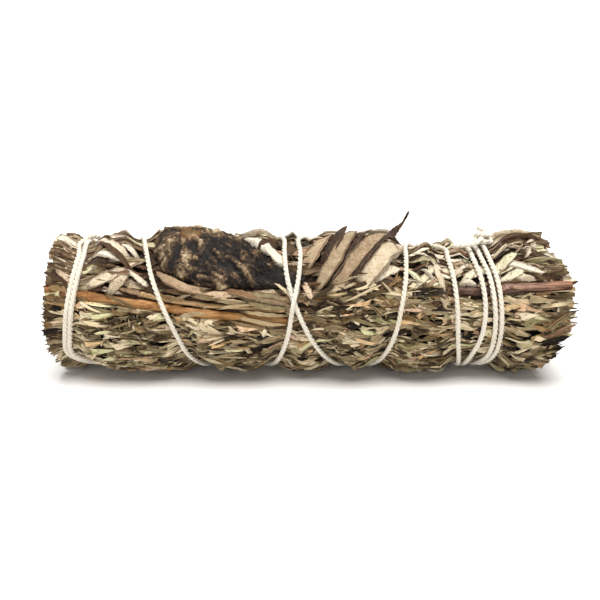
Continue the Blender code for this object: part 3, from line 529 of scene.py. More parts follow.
def packed(piece, edges, rng):
    """The pressed middle of a sprig, which shows in the gaps between its outer leaves, coloured near black
    as painted shade for those gaps. Its caps follow the slanted cut."""
    x = np.linspace(-CORE_HALF, CORE_HALF, 120)[:, None]
    share, low = np.linspace(0, 1, 22), OUTER_SPRIG[0]
    angle, inner = part_way(edges, x, share), part_way(edges, x, np.linspace(1, 0, 5))
    give = swelled(x, angle)
    rough = 0.5 * np.sin(9 * share + 3 * np.sin(0.06 * x)) + rng.normal(0, 0.16, angle.shape)
    outer = seat_radius(x, angle) - CLEAR + SWELL * give - 2.7 * (0.5 + 0.5 * give)
    outer = outer + rough * (0.3 + 0.7 * give)
    outer[:, (0, -1)] -= 0.3
    points = np.concatenate((place(x, angle, outer), place(x, inner, low)), axis=1)
    caps = []
    for k in (0, -1):
        rim = place(x[k], angle[k], 0.95 * low + 0.05 * outer[k])
        caps.append([np.concatenate((rim, points[k, len(share) :]))])
    points = np.concatenate((caps[0], points, caps[1]))
    points[..., 2] = np.maximum(points[..., 2], 0.6)
    # Tone 0 with no brown root gives the darkest colour: painted shade for the gaps between the outer leaves.
    piece.add(points[None], 0.0, 1.0, 0.3, 0.5)


# Toothed, plain and narrow leaves: (share of the length, of the width), and below that their share of all
# leaves, how many are in a tuft, lengths and widths.
SAGEBRUSH_OUTLINES = (
    ((0, 0.22), (0.3, 0.42), (0.7, 0.9), (0.88, 1), (1, 0.35)),
    ((0, 0.3), (0.25, 0.75), (0.6, 1), (0.85, 0.7), (1, 0.1)),
    ((0, 0.5), (0.2, 0.9), (0.7, 1), (1, 0.15)),
)
TUFTS = ((0.46, 5, (4.5, 9.5), (1.6, 2.9)), (0.42, 4, (4, 9.5), (1.2, 2.3)), (0.1, 2, (8, 15), (0.8, 1.4)))


def tufts(piece, edges, count, way, rng, heights=(-2.3, 0.15), span=(-80, 80)):
    """Sagebrush leaves in tufts that fan out from thin twigs, spread evenly, the outer ones over the deeper
    ones. A tuft has four or five toothed or plain leaves, or two long narrow ones."""
    for number, (portion, leaves, lengths, widths) in enumerate(TUFTS):
        fans = int(count * portion / leaves)
        each = lambda values: np.repeat(values, leaves)
        (even, bell), (fan_even, fan_bell) = draws(rng, fans * leaves), draws(rng, fans)
        length, width, order = even(*lengths), even(*widths), np.arange(fans)
        x = each(span[0] + (span[1] - span[0]) * (order + fan_even(0, 1)) / fans) + bell(0, 1.3)
        x = np.clip(x, -TIP_REACH + (way < 0) * length, TIP_REACH - (way > 0) * length)
        angle = part_way(edges, x, each((order * GOLDEN + rng.uniform(0, 1)) % 1))
        height = heights[0] + (heights[1] - heights[0]) * np.sqrt(each(fan_even(0, 1))) + bell(0, 0.25)
        root = on_sheet(x, angle, height)
        root[:, 1] += bell(0, 0.5)
        lean = np.tile(np.linspace(-18, 18, leaves), fans) * even(0.1, 1.2)
        lean = lean + each(fan_bell(3 * way, 6)) + bell(0, 4)
        lean = np.where(way > 0, lean, 180 + lean)
        rib = paths(root, length, lean, bell(4, 8), bell(0.15, 0.5), bell(0, 1.1), 8)
        rib[..., 2] = held(rib[..., 2], 0.6, 0.4)
        tone = each(fan_even(0, 1)) * 0.5 + even(0, 1) * 0.5
        # Deeper leaves get a darker tone, 0.14 for each mm of depth: painted shade where the outer leaves
        # shadow them.
        tone = np.clip(0.5 + 1.35 * (tone - 0.5) + 0.14 * (height + 0.9), 0, 1)
        hue, cup = even(0, 1), even(0.4, 2.2) * rng.choice((1, 1, -1), len(x))
        outline = SAGEBRUSH_OUTLINES[number]
        blades(piece, rib, width, outline, tone, hue, roll=bell(0, 38), twist=bell(0, 60), cup=cup)
        if number == 0:
            toothed(piece, rib, width, tone, hue, rng)


def toothed(piece, rib, width, tone, hue, rng):
    """The two side teeth at the tip of a sagebrush leaf."""
    even, _ = draws(rng, len(rib))
    for way in (-1, 1):
        along = unit(rib[:, 7] - rib[:, 4])
        lean = np.degrees(np.arctan2(along[:, 1], along[:, 0])) + way * even(12, 30)
        pitch = np.degrees(np.arcsin(np.clip(along[:, 2], -0.9, 0.9)))
        length = np.linalg.norm(rib[:, 7] - rib[:, 0], axis=-1) * even(0.28, 0.4)
        tooth = paths(rib[:, 5], length, lean, pitch, 0 * length, 0 * length, 4)
        blades(piece, tooth, width * 0.45, ((0, 0.7), (0.5, 1.0), (1, 0.2)), tone, hue, across=3, thick=0.3)


def crumbs(piece, edges, count, spans, rng):
    """Dry buds and broken bits of leaf, lying every way between the leaves."""
    low, high = np.array(spans, float)[rng.integers(0, len(spans), count)].T
    even, bell = draws(rng, count)
    x = low + (high - low) * even(0, 1)
    root = on_sheet(x, part_way(edges, x, even(0, 1)), even(-1.2, 0.3))
    rib = paths(root, even(0.9, 2.6), bell(0, 55), even(-10, 45), 0 * x, bell(0, 0.3), 4)
    width, outline = even(0.6, 1.3), ((0, 0.4), (0.4, 1.0), (1, 0.2))
    blades(piece, rib, width, outline, even(0.1, 1), even(0, 1), across=3, thick=0.5, roll=even(0, 90))


def twigs(piece, edges, count, rng):
    """Thin round brown twigs between the leaves, along the bundle."""
    even, bell = draws(rng, count)
    x = even(-78.5, 40)
    length = np.minimum(even(20, 60), 78.5 - x)
    root = on_sheet(x, part_way(edges, x, even(0.05, 0.95)), even(-1.6, 0))
    rib = paths(root, length, bell(0, 3), 0 * x, bell(0, 0.3), bell(0, 1.6), 16)
    side, out = square_to(rib)
    t = np.linspace(0, 1, rib.shape[1])
    size = even(0.3, 0.6)[:, None] * (1 - 0.5 * t) * (1 + 0.12 * np.sin(t * 31))
    flat = rib[:, :, None] + size[..., None, None] * round_line(out, side, np.arange(6) * 2 * np.pi / 6)
    piece.add(lay(flat), even(0.1, 0.55)[:, None, None], t[:, None], 1.0, even(0, 1)[:, None, None])


def placed_leaves(piece, table, outline, rng, points, **shape):
    """Leaves from a table of x and angle of the root, middle and tip, width, heights at five spots from root
    to tip, tone from 0 for dark brown to 1 for cream, and hue, each on an even curve through its marks.
    points is the number of points along and across a leaf."""
    t = np.linspace(0, 1, points[0])
    shares = np.stack(((1 - t) * (1 - 2 * t), 4 * t * (1 - t), t * (2 * t - 1)))
    ribs = []
    for row in table:
        x, angle = row[:6].reshape(3, 2).T @ shares
        height = np.interp(t, np.linspace(0, 1, 5), row[7:12])
        height[1:-1] = (height[:-2] + 2 * height[1:-1] + height[2:]) / 4
        ribs.append(on_sheet(x, angle, height))
    width, tone, hue = table[:, 6], table[:, 12], table[:, 13]
    even, bell = draws(rng, len(table))
    blades(
        piece, np.stack(ribs), width * 1.18, outline, tone, hue, across=points[1], roll=bell(0, 10),
        twist=bell(0, 16), cup=even(-0.35, 0.6), curl=even(1.6, 3.0), wrinkle=even(0.06, 0.18), **shape,
    )


def cropped(piece, edges, count, rng, lengths, widths, tones, **shape):
    """Leaves round both ends that were cut off square with the bundle."""
    even, bell = draws(rng, count)
    way = np.tile((-1, 1), count // 2)
    face, length = even(75.0, 78.9), even(*lengths)
    share = (np.arange(count) // 2 + even(0.2, 0.8)) / (count / 2)
    root = on_sheet(way * (face - length), part_way(edges, way * 77, share), even(-1.6, -0.5))
    lean = np.where(way > 0, 0, 180) + bell(0, 7)
    rib = paths(root, length, lean, bell(3, 3), bell(0.2, 0.3), bell(0, 0.7), 8)
    tone, hue, width = even(*tones), even(0, 1), even(*widths)
    outline = ((0, 0.3), (0.35, 0.8), (0.7, 1.0), (1, 0.9))
    roll, twist, cup = bell(0, 25), bell(0, 25), even(0.3, 1.8)
    blades(piece, rib, width, outline, tone, hue, roll=roll, twist=twist, cup=cup, end=1.3, **shape)


def main_stem(k, edges):
    """Angle, distance from the axis and radius of the main stem of outer sprig k."""
    return (edges[0](0) + edges[1](0)) / 2, MAIN_STEM, 1.25 + 0.3 * (k % 3)


def cut_ends(piece, edges, inner, outer, rng, stems, pale=0.0):
    """Twigs and rolled leaves cut off square, packed side by side at both ends of a sprig round its main
    stems, as far out as the bundle goes."""
    spot = lambda angle, radius: radius * np.exp(1j * np.radians(angle))
    for way in (-1, 1):
        face, spots = way * CORE_HALF, []
        first, last = (edge(face) for edge in edges)
        for radius in np.arange(inner + 0.8, outer - 0.6, 1.5):
            many = max(1, int(math.radians(last - first) * radius / 1.6))
            for angle in first + (last - first) * (np.arange(many) + 0.5) / many:
                clear = min(abs(spot(angle, radius) - spot(turn, out)) - size for turn, out, size in stems)
                if clear > 0.5 and radius < seat_radius(face, angle) + 0.4:
                    spots.append((angle, radius))
        angle, radius = np.array(spots).T
        even, bell = draws(rng, len(spots))
        angle, radius = angle + bell(0, 0.22) / radius * 57, radius + bell(0, 0.25)
        face = face + way * even(0.2, 2.9) * np.where(even(0, 1) < 0.5, 1, 0.5)
        centre, rolled = place(face, angle, radius), even(0, 1) < 0.62
        for leafy in (True, False):
            pick = rolled == leafy
            even, _ = draws(rng, (pick.sum(), 1, 1))
            turn = even(0, 6.28)
            if leafy:
                arc = np.linspace(-1, 1, 6)
                arc, size = np.append(arc, arc[-2:0:-1]), even(0.5, 1.05) + np.repeat((0.19, -0.19), (6, 4))
                sweep = even(1.2, 2.7) * arc + turn
                y, z = size * np.sin(sweep) * even(0.6, 1), size * np.cos(sweep)
                profile = ((-4.0, 1.0), (-0.1, 1.0), (0.0, 0.96))
            else:
                a = np.arange(8) * np.pi / 4
                size = even(0.4, 0.95) * (1 + 0.06 * np.sin(3 * a + turn))
                y, z = size * np.sin(a + turn), size * np.cos(a + turn)
                profile = ((-4.0, 1.0), (-0.05, 1.0), (0.0, 0.93), (0.0, 0.5), (-0.06, 0.2))
            depth, share = np.array(profile)[::way].T[..., None]
            rings = np.stack(np.broadcast_arrays(way * depth, share * y, share * z), axis=-1)
            rings = rings + centre[pick][:, None, None]
            rings[..., 2] = np.maximum(rings[..., 2], 0.3)
            piece.add(rings, np.clip(even(0.25, 0.85) + pale, 0, 1), 0.5, 0.6 * share, even(0, 1))


felted = Finish("sagebrush leaf", Sheen_Weight=0.12, Sheen_Roughness=0.5, Specular_IOR_Level=0.22)
root_brown = colour(34, 24, 14)
fuzz, coarse = felted.grain(0.28, 4), felted.grain(2.6, 2)
shade = felted.shades(
    felted.tone + 0.34 * (coarse - 0.5) + 0.16 * (fuzz - 0.5) + 0.1 * felted.across.step(0.5, 1.0),
    (0, 22, 15, 8), (0.22, 64, 51, 33), (0.48, 116, 100, 73), (0.72, 168, 151, 119), (1, 214, 200, 171),
)
shade = felted.mix(0.75 * (1 - felted.along.step(0.0, 0.3)), shade, root_brown)
cast = felted.ramp(
    felted.hue, (0.0, 0.88, 1.0, 0.78), (0.16, 1, 1, 1), (0.76, 1, 0.96, 0.9), (0.92, 1, 0.78, 0.54),
    (1, 0.92, 0.72, 0.72),
)
shade = felted.mix(1.0, shade, cast, "MULTIPLY")
shade = felted.mix(0.55 * felted.grain(0.6, 2).step(0.66, 0.72), shade, root_brown)
felted.done(shade, 0.78 + 0.16 * fuzz, fuzz + 0.6 * coarse, 0.1)

# Bits that stand out on the front: long leaves beside the orange stem, curly ones, and those at both ends.
LOOSE_BITS = (
    (-23.1, 8, -15.5, 4, -7, -1, 1.5, -1.5, 0.4, 0.5, 0.5, 0.2, 0.72, 0.78),
    (-24.9, 5, -17.9, 0, -9.7, -5, 1.2, -1.5, 0.3, 0.4, 0.4, 0.2, 0.55, 0.8),
    (-21.4, 12, -14.3, 10, -6.1, 7, 1.2, -1.5, 0.4, 0.5, 0.4, 0.2, 0.62, 0.74),
    (-28.1, 13, -23, 16, -17.2, 17, 1, -1.5, 0.5, 0.6, 0.5, 0.2, 0.66, 0.7),
    (-47.1, 29, -42.3, 23, -36.8, 21, 1.5, -1, 1, 1.2, 1.1, 0.8, 0.5, 0.85),
    (-60.7, 28, -56.6, 21, -51.9, 16, 1.2, -1, 0.9, 1.1, 1, 0.6, 0.4, 0.8),
    (-39.6, 6, -35.3, 10, -30.6, 10, 1.2, -1, 0.9, 1.1, 1, 0.6, 0.7, 0.5),
    (-73.7, 29, -69.9, 24, -65.7, 21, 1.5, -1, 0.8, 0.9, 0.8, 0.5, 0.35, 0.85),
    (-26.1, 29, -20.7, 26, -15.4, 22, 1.8, -1.5, 0.4, 0.6, 0.6, 0.3, 0.5, 0.98),
    (-11.4, 36, -7.9, 30, -5.5, 22, 1.2, -1.5, 0.8, 1.2, 1.2, 0.8, 0.95, 0.5),
    (-30.1, 23, -24.8, 20, -18.9, 19, 1.8, -1.5, 0.3, 0.4, 0.4, 0.2, 0.62, 0.4),
    (-36, 26, -31.5, 23, -26, 22, 1.8, -1.5, 0.2, 0.3, 0.3, 0.2, 0.45, 0.65),
    (-20.8, 21, -14.3, 16, -7.3, 14, 1.8, -1.5, 0.3, 0.4, 0.4, 0.2, 0.55, 0.1),
    (-44.2, 31, -39.4, 27, -34.1, 26, 1.5, -1.5, 0.2, 0.3, 0.3, 0.1, 0.35, 0.97),
    (-0.6, 3, 4.1, 1, 8.8, 5, 1.5, -1, 0.4, 0.6, 0.5, 0.2, 0.5, 0.93),
    (0.3, -4, 3.2, 0, 7.4, -3, 1.2, -1, 0.3, 0.5, 0.5, 0.2, 0.42, 0.95),
    (2.1, 7, 5.6, 7, 9.4, 8, 1.2, -1, 0.3, 0.5, 0.4, 0.2, 0.58, 0.9),
    (5.6, 21, 12, 22, 19, 24, 1.8, -1.5, 0.2, 0.4, 0.3, 0.1, 0.6, 0.2),
    (17.9, 17, 24.8, 19, 33, 21, 1.8, -1.5, 0.2, 0.4, 0.3, 0.1, 0.55, 0.55),
    (29.6, 10, 37.1, 12, 45.3, 11, 1.8, -1.5, 0.3, 0.5, 0.4, 0.1, 0.66, 0.45),
    (26.2, 3, 33.8, 0, 41.5, -3, 1.8, -1.5, 0.2, 0.4, 0.4, 0.1, 0.72, 0.4),
    # A near-black leaf left of the brown stem: partly a dark leaf, partly painted shade for the deep shadow
    # there.
    (27.3, 28, 33.1, 27, 40.5, 27, 2.4, -1.5, 1.1, 1.4, 1.3, 0.8, 0.02, 0.6),
    (57.2, 19, 61.1, 19, 65.5, 20, 1.8, -1.5, 0.3, 0.5, 0.4, 0.2, 0.72, 0.7),
    (56.7, 8, 67, 9, 77.7, 11, 1.5, -1.5, 0.3, 0.4, 0.3, 0.1, 0.62, 0.5),
    (57.9, 3, 67.8, 4, 77.2, 6, 1.5, -1.5, 0.2, 0.3, 0.3, 0.1, 0.52, 0.62),
    (56.6, -3, 64.4, -2, 73.8, 0, 1.5, -1.5, 0.3, 0.4, 0.3, 0.1, 0.66, 0.5),
    # A near-black leaf laid over the hollow low on the right end: painted shade.
    (66.8, -16, 71.5, -13, 76.8, -9, 3, -1.5, 0.9, 1.2, 1.1, 0.8, 0.02, 0.5),
    (67.5, -13, 71.7, -6, 77.1, 1, 2.1, -1.5, 1, 1.3, 1.3, 0.9, 0.5, 1),
    (61.5, -17, 63.9, -16, 67.2, -15, 3.3, -1.5, 0.5, 0.8, 0.7, 0.2, 0.78, 0.08),
    (68.9, -33, 72.4, -35, 76.8, -42, 1.8, -1.5, 0.3, 0.5, 0.4, 0.2, 0.35, 0.7),
    (-71.9, 24, -75.2, 23, -77.6, 23, 2.4, -1, 0, 0.1, 0, -0.1, 0.4, 0.88),
    (-71.6, 16, -74.9, 15, -77.9, 13, 2.4, -1, 0, 0.1, 0, -0.1, 0.45, 0.9),
    (-71.4, 31, -74.4, 31, -77.1, 31, 2.1, -1, 0, 0.1, 0, -0.1, 0.55, 0.86),
    (-73.2, 8, -76.5, 6, -78.6, 6, 1.2, -1, 0.2, 0.2, 0.1, 0, 0.02, 0.5),
    (-73.4, -13, -76.8, -14, -78.6, -13, 1.5, -1, 0.2, 0.2, 0.1, 0, 0.85, 0.5),
    (14, -45, 16.1, -54, 18.1, -50, 1.8, -1, 0.5, 0.9, 0.8, 0.4, 0.72, 0.2),
    (22.3, -35, 24.9, -42, 28.4, -51, 1.5, -1, 0.4, 0.6, 0.5, 0.2, 0.55, 0.97),
)

cuts = [wavy(angle) for angle in SPLITS]
front_edge = lambda x: between(FRONT_SPLIT, x)
front_pair = cuts[4], lambda x: front_edge(x) + 360
# Each sprig's name, its two edges, how many leaves, and the stretches of x where how many crumbs lie.
SAGEBRUSH = (
    ("sagebrush_back", cuts[0:2], 580, ((-70, 70),), 150),
    ("sagebrush_low_back", cuts[1:3], 550, ((-70, 70),), 150),
    ("sagebrush_underside", cuts[2:4], 510, ((-70, 70),), 100),
    ("sagebrush_low_front", cuts[3:5], 880, ((-74, -48), (0, 34), (-74, 74)), 450),
    ("sagebrush_front", front_pair, 1050, ((-72, -48), (3, 33), (-74, 74)), 700),
)
for k, (name, edges, count, spans, bits) in enumerate(SAGEBRUSH):
    rng = np.random.default_rng(20 + k)
    way = 1 if k % 2 else -1
    sprig = Piece()
    packed(sprig, edges, rng)
    twigs(sprig, edges, 40 if name == "sagebrush_front" else 26, rng)
    tufts(sprig, edges, count, way, rng)
    crumbs(sprig, edges, bits, spans, rng)
    cropped(sprig, edges, 30, rng, (6, 13), (1.6, 2.8), (0.25, 0.9))
    if name == "sagebrush_front":
        below_fan = lambda x: front_edge(x) + 357, lambda x: 390 + 0 * x
        tufts(sprig, below_fan, 170, 1, rng, (-1.6, 0.1), span=(-4, 38))
        placed_leaves(sprig, np.array(LOOSE_BITS), SAGEBRUSH_OUTLINES[1], rng, (14, 7), over=True, thick=0.35)
    cut_ends(sprig, edges, *OUTER_SPRIG, rng, [main_stem(k, edges)])
    sprig.make(name + "_leaves", felted, "sagebrush leaf", name)

# The heart: one more sprig that the others lie round. Only its cut twigs and rolled leaves show, in the
# middle of both ends.
heart_stems = [(40 + 120 * k, 4.0, 1.9 - 0.25 * k) for k in range(3)]
heart = Piece()
x = np.clip(np.linspace(-1.2, 1.2, 14), -1, 1)[:, None] * CORE_HALF
a = np.arange(36) * 10
size = HEART_RADIUS - 0.2 + 0.2 * np.sin(9 * np.radians(a))
capped = np.array([0.05] + 12 * [1.0] + [0.05])[:, None]
heart.add(place(x, a, size * capped)[None], 0.1, 0.1, 0.3, 0.5)
whole_turn = lambda x: 0, lambda x: 360
cut_ends(heart, whole_turn, 0.6, HEART_RADIUS + 0.6, np.random.default_rng(9), heart_stems)
heart.make("heart_leaves", felted, "sagebrush leaf", "sprig_heart")

# White sage, over the top and down the upper back: broad soft leaves that dried pale, with brown edges
# that curl in; that edge brown is also painted shade for the dark gaps between leaves. Each large leaf that
# shows on the front is placed by its root, middle, tip, width and heights; the smaller ones fill in below
# them by rule.
TOP_SPLIT, BACK_SPLIT = 106, 158
ROOT_DEPTH = -3.8  # height of every large leaf's root, which the table leaves out
SAGE_LEAVES = (
    (-71, 68, -61.7, 60, -55.3, 53, 3.3, 0.1, 0.5, 0.5, 0.3, 1, 0.4),
    (-52.7, 56, -59.7, 71, -66.1, 82, 2.7, 0.2, 0.8, 0.9, 0.8, 0.86, 0.5),
    (-50.7, 61, -56.7, 75, -62.1, 89, 2.7, -0.2, 0.3, 0.4, 0.3, 0.95, 0.5),
    (-52.5, 50, -59.5, 39, -67.9, 31, 3.4, 0.5, 0.9, 0.8, 0.2, 0.8, 0.6),
    (-52.8, 49, -56.2, 36, -60.1, 23, 3.1, 0.2, 0.5, 0.4, 0, 0.76, 0.6),
    (-59.7, 45, -63.5, 49, -67.6, 52, 2.7, -0.6, -0.3, -0.1, 0, 0.62, 0.05),
    (-47.4, 32, -50.4, 38, -53.8, 45, 1.9, 0, 0.3, 0.4, 0.5, 0.95, 0.5),
    (-41.9, 20, -49.3, 26, -56.7, 30, 1.8, -0.3, 0, 0, -0.2, 0.5, 0.95),
    # A dark brown leaf along the shaded edge of the leaf above it: partly a brown leaf, partly painted shade.
    (-49.9, 34, -57.6, 59, -65.3, 77, 1.7, 0.9, 1.3, 1.2, 0.8, 0.16, 0.9),
    # A near-black leaf laid in the black shadow under the green leaf beside it: painted shade.
    (-58.6, 49, -62.2, 53, -66.4, 57, 2.7, 0.1, 0.4, 0.4, 0.1, 0.05, 0.05),
    (-69.5, 76, -74, 86, -78.5, 78, 4.2, 0.2, 0.6, 0.6, 0.3, 1, 0.4),
    (-66.8, 59, -72.3, 64, -77.6, 71, 2.1, 0, 0.3, 0.4, 0.3, 0.72, 0.1),
    (-69.1, 53, -72.9, 57, -77.1, 61, 2.7, -0.4, 0, 0.1, 0.1, 0.8, 0.75),
    (-68.2, 33, -72.1, 42, -76.7, 51, 2.7, -0.3, 0.1, 0.3, 0.3, 0.85, 0.85),
    (-68.6, 32, -73.7, 38, -78.7, 44, 1.5, 0, 0.5, 0.6, 0.4, 0.12, 0.5),
    (-71, 28, -75, 31, -78.9, 33, 3, -0.4, 0, 0.1, 0, 0.34, 0.9),
    (-26.7, 27, -38.3, 32, -45.9, 47, 3.2, 0.2, 0.6, 0.7, 0.7, 0.55, 0.84),
    (-25.5, 27, -14.3, 23, -6.1, 21, 3.3, -0.2, 0.2, 0.2, 0, 0.55, 0.15),
    (-4.5, 51, -12, 66, -21.5, 92, 4.2, 0, 0.4, 0.4, 0.2, 1, 0.4),
    (-4, 60, -7.5, 77, -10.5, 94, 4.4, 0.8, 1.3, 1.3, 0.7, 0.16, 0.02),
    (-2.7, 47, 1.3, 65, 6.4, 86, 6.2, -0.6, 0.2, 0.4, 0.4, 0.62, 0.8),
    (1.9, 47, 7, 69, 11.6, 102, 3.4, 0, 0.8, 1.4, 2.4, 0.05, 0.5),
    (-0.1, 26, 7.5, 54, 14.8, 102, 5.2, 0.5, 1, 1, 0.9, 0.54, 0.6),
    # A near-black narrow leaf: partly a dark rolled leaf edge, partly painted shade between the fan's pale
    # leaves.
    (1.6, 24, 10.2, 53, 19.4, 103, 1.8, 0.8, 1.4, 1.4, 1.5, 0.03, 0.5),
    (3, 21, 13.1, 52, 24.3, 103, 5.4, 0.3, 0.8, 0.8, 0.7, 0.52, 0.78),
    # Another near-black narrow leaf: partly a dark rolled leaf edge, partly painted shade between the fan's
    # pale leaves.
    (6.4, 27, 15.9, 51, 26.6, 101, 1.7, 0.6, 1.2, 1.3, 1.4, 0.03, 0.5),
    (11.5, 27, 19.9, 51, 29.1, 89, 7.6, -0.2, 0.5, 0.7, 0.6, 0.74, 0.5),
    (15, 31, 21.5, 42, 26.7, 51, 3, 0.2, 0.7, 0.7, 0.4, 0.9, 0.5),
    # A dark leaf laid along the band of shadow under the pale leaf above it: painted shade.
    (6.7, 30, 17.6, 33, 27.7, 41, 2.7, -0.2, 0.3, 0.3, 0, 0.1, 0.6),
    (-2.7, 42, -1, 29, 0.8, 19, 1.9, 0, 0.4, 0.3, 0.1, 0.8, 0.85),
    (22.5, 80, 26.6, 100, 31.1, 101, 1.8, 0.2, 3.4, 7.6, 12.6, 0.05, 0.5),
    (41.2, 41, 35.9, 61, 31.3, 75, 2.7, -0.2, 0.4, 0.4, 0.2, 0.95, 0.3),
    (29.2, 29, 33.3, 39, 37.7, 54, 2.4, -0.3, 0.1, 0.2, 0.1, 0.9, 0.2),
    (40.5, 26, 38.3, 40, 36.7, 53, 2.4, 0, 0.6, 0.6, 0.3, 0.82, 0.75),
    (35.8, 42, 38.9, 23, 41.5, 8, 3, 0.1, 0.5, 0.4, 0.1, 0.6, 0.5),
    (43.2, 30, 46.7, 42, 50.3, 56, 2.7, -0.5, 0, 0.1, 0, 0.85, 0.2),
    (52.2, 43, 56.9, 54, 63.2, 63, 3.6, 0, 0.6, 0.6, 0.3, 0.9, 0.15),
    (52.6, 76, 65.5, 88, 77.7, 79, 4.4, 0.8, 1.5, 1.4, 0.9, 0.1, 0.6),
    (56.2, 57, 63, 49, 69.6, 43, 2.5, 0.3, 0.7, 0.6, 0.3, 0.98, 0.5),
    (57.9, 44, 62.7, 40, 67.6, 36, 2.1, 0, 0.3, 0.3, 0.1, 0.86, 0.5),
    (58.4, 69, 70.2, 64, 75.3, 48, 2.7, 0, 0.4, 0.4, 0.2, 0.14, 0.6),
)
SAGE_OUTLINE = ((0, 0.25), (0.12, 0.5), (0.3, 0.85), (0.5, 1.0), (0.72, 0.88), (0.9, 0.5), (1, 0.06))


def loose_leaves(
    piece, edges, count, rng, lengths, widths, heights, span=(-74, 74), spread=24, pale=0.66,
    stations=12, across=7,
):
    """White sage leaves by rule, pointing out to the nearer end, in many directions."""
    even, bell = draws(rng, count)
    length, order = even(*lengths), np.arange(count)
    x = span[0] + (span[1] - span[0]) * (order + even(0, 1)) / count
    way = np.where(x + bell(0, 18) > 0, 1, -1)
    x = np.clip(x - way * length / 2, -TIP_REACH + (way < 0) * length, TIP_REACH - (way > 0) * length)
    share = 0.03 + 0.94 * ((order * GOLDEN + rng.uniform(0, 1)) % 1)
    angle = part_way(edges, x, share)
    root = on_sheet(x, angle, even(*heights))
    lean = np.where(way > 0, 0, 180) + bell(0, spread) * (1 - 1.2 * np.abs(share - 0.5))
    rib = paths(root, length, lean, even(1, 8), bell(0.3, 0.4), bell(0, 1.4), stations)
    rib[..., 2] = held(rib[..., 2], 0.5, 0.3)
    low, high = (np.radians(edge(rib[..., 0])) * UNROLLED for edge in edges)
    rib[..., 1] = np.clip(rib[..., 1], low + 0.4, high - 0.4)
    # Leaves past 72 degrees round, on the top, get up to 0.2 paler tone: painted light from above.
    tone = np.clip(bell(pale, 0.24) + 0.2 * smooth((angle - 72) / 18), 0.03, 1)
    blades(
        piece, rib, even(*widths), SAGE_OUTLINE, tone, even(0, 1), across=across, thick=0.42, groove=0.16,
        roll=bell(0, 24), twist=bell(0, 30), cup=even(-0.4, 1.1), curl=even(0.8, 3.0),
        wrinkle=even(0.06, 0.18),
    )


pale_leaf = Finish("white sage leaf", Sheen_Weight=0.1, Sheen_Roughness=0.5, Specular_IOR_Level=0.25)
down, blotch, pores = pale_leaf.grain(0.3, 4), pale_leaf.grain(2.2), pale_leaf.grain(0.6)
shade = pale_leaf.shades(
    pale_leaf.tone + 0.36 * (blotch - 0.5) + 0.2 * (down - 0.5),
    (0, 38, 29, 22), (0.2, 78, 60, 44), (0.42, 130, 110, 86),
    (0.6, 172, 154, 126), (0.8, 206, 191, 164), (1, 228, 219, 199),
)
white = (1, 1, 1, 1)
for low, high, cast in ((0.7, 0.95, (1.02, 0.88, 0.84, 1)), (0.3, 0.05, (0.9, 0.98, 0.82, 1))):
    shade = pale_leaf.mix(1.0, shade, pale_leaf.mix(pale_leaf.hue.step(low, high), white, cast), "MULTIPLY")
# Brown along the leaf edges: partly the curled margins' own brown, partly painted shade for the dark gaps
# between leaves.
brown_edge_and_shade = (pale_leaf.across + 0.5 * (blotch - 0.5) + 0.3 * (pores - 0.5)).step(0.66, 0.92)
slant = 95 * pale_leaf.along - 11 * pale_leaf.across
veins = slant.maths("SINE", slant).step(0.55, 1.0) * pale_leaf.across.step(0.03, 0.1)
for share, brown in (
    ((0.9 - 0.35 * pale_leaf.tone) * brown_edge_and_shade, (80, 54, 34)),
    (0.6 * (1 - pale_leaf.along.step(0.0, 0.25)), (92, 66, 42)),
    (0.7 * pores.step(0.56, 0.66), (108, 82, 56)),
    (0.2 * veins, (96, 72, 48)),
):
    shade = pale_leaf.mix(share, shade, colour(*brown))
pale_leaf.done(shade, 0.74 + 0.2 * down, down + 0.9 * pores - 0.3 * veins, 0.14)

top_edge, back_edge = wavy(TOP_SPLIT), wavy(BACK_SPLIT)
WHITE_SAGE = (("white_sage_front", (front_edge, top_edge)), ("white_sage_back", (top_edge, back_edge)))
# How many leaves of the fill, their lengths, widths and heights, stretch of x, spread of direction and tone.
FRONT_FILL = (
    (70, (14, 24), (3.4, 5.4), (-2.9, -2), (-74, 74), 10, 0.25),
    (150, (6, 14), (1.5, 3.8), (-2.2, -0.4), (-74, 74), 16, 0.45),
    (44, (4, 9), (2, 3.4), (-1.2, 0.3), (31, 52), 45, 0.95),
    (26, (6, 12), (2, 3.6), (-1.2, 0.2), (55, 76), 24, 0.8),
    (24, (7, 13), (2, 3.8), (-1.2, 0.2), (-77, -52), 30, 0.6),
)
for k, (name, edges) in enumerate(WHITE_SAGE):
    rng = np.random.default_rng(50 + k)
    sprig = Piece()
    packed(sprig, edges, rng)
    twigs(sprig, edges, 6, rng)
    if name == "white_sage_front":
        table = np.insert(SAGE_LEAVES, 7, ROOT_DEPTH, axis=1)
        placed_leaves(sprig, table, SAGE_OUTLINE, rng, (24, 13), thick=0.5, groove=0.22)
        for count, *fill in FRONT_FILL:
            loose_leaves(sprig, edges, count, rng, *fill)
    else:
        loose_leaves(sprig, edges, 96, rng, (10, 20), (3, 5), (-2.6, -0.9))
        loose_leaves(sprig, edges, 54, rng, (15, 27), (4.4, 6.6), (-1.2, -0.2), stations=20, across=11)
    cropped(sprig, edges, 34, rng, (8, 15), (2.6, 4.4), (0.3, 0.95), across=7, curl=1.4, wrinkle=0.1)
    cut_ends(sprig, edges, *OUTER_SPRIG, rng, [main_stem(5 + k, edges)], pale=0.12)
    sprig.make(name + "_leaves", pale_leaf, "white sage leaf", name)

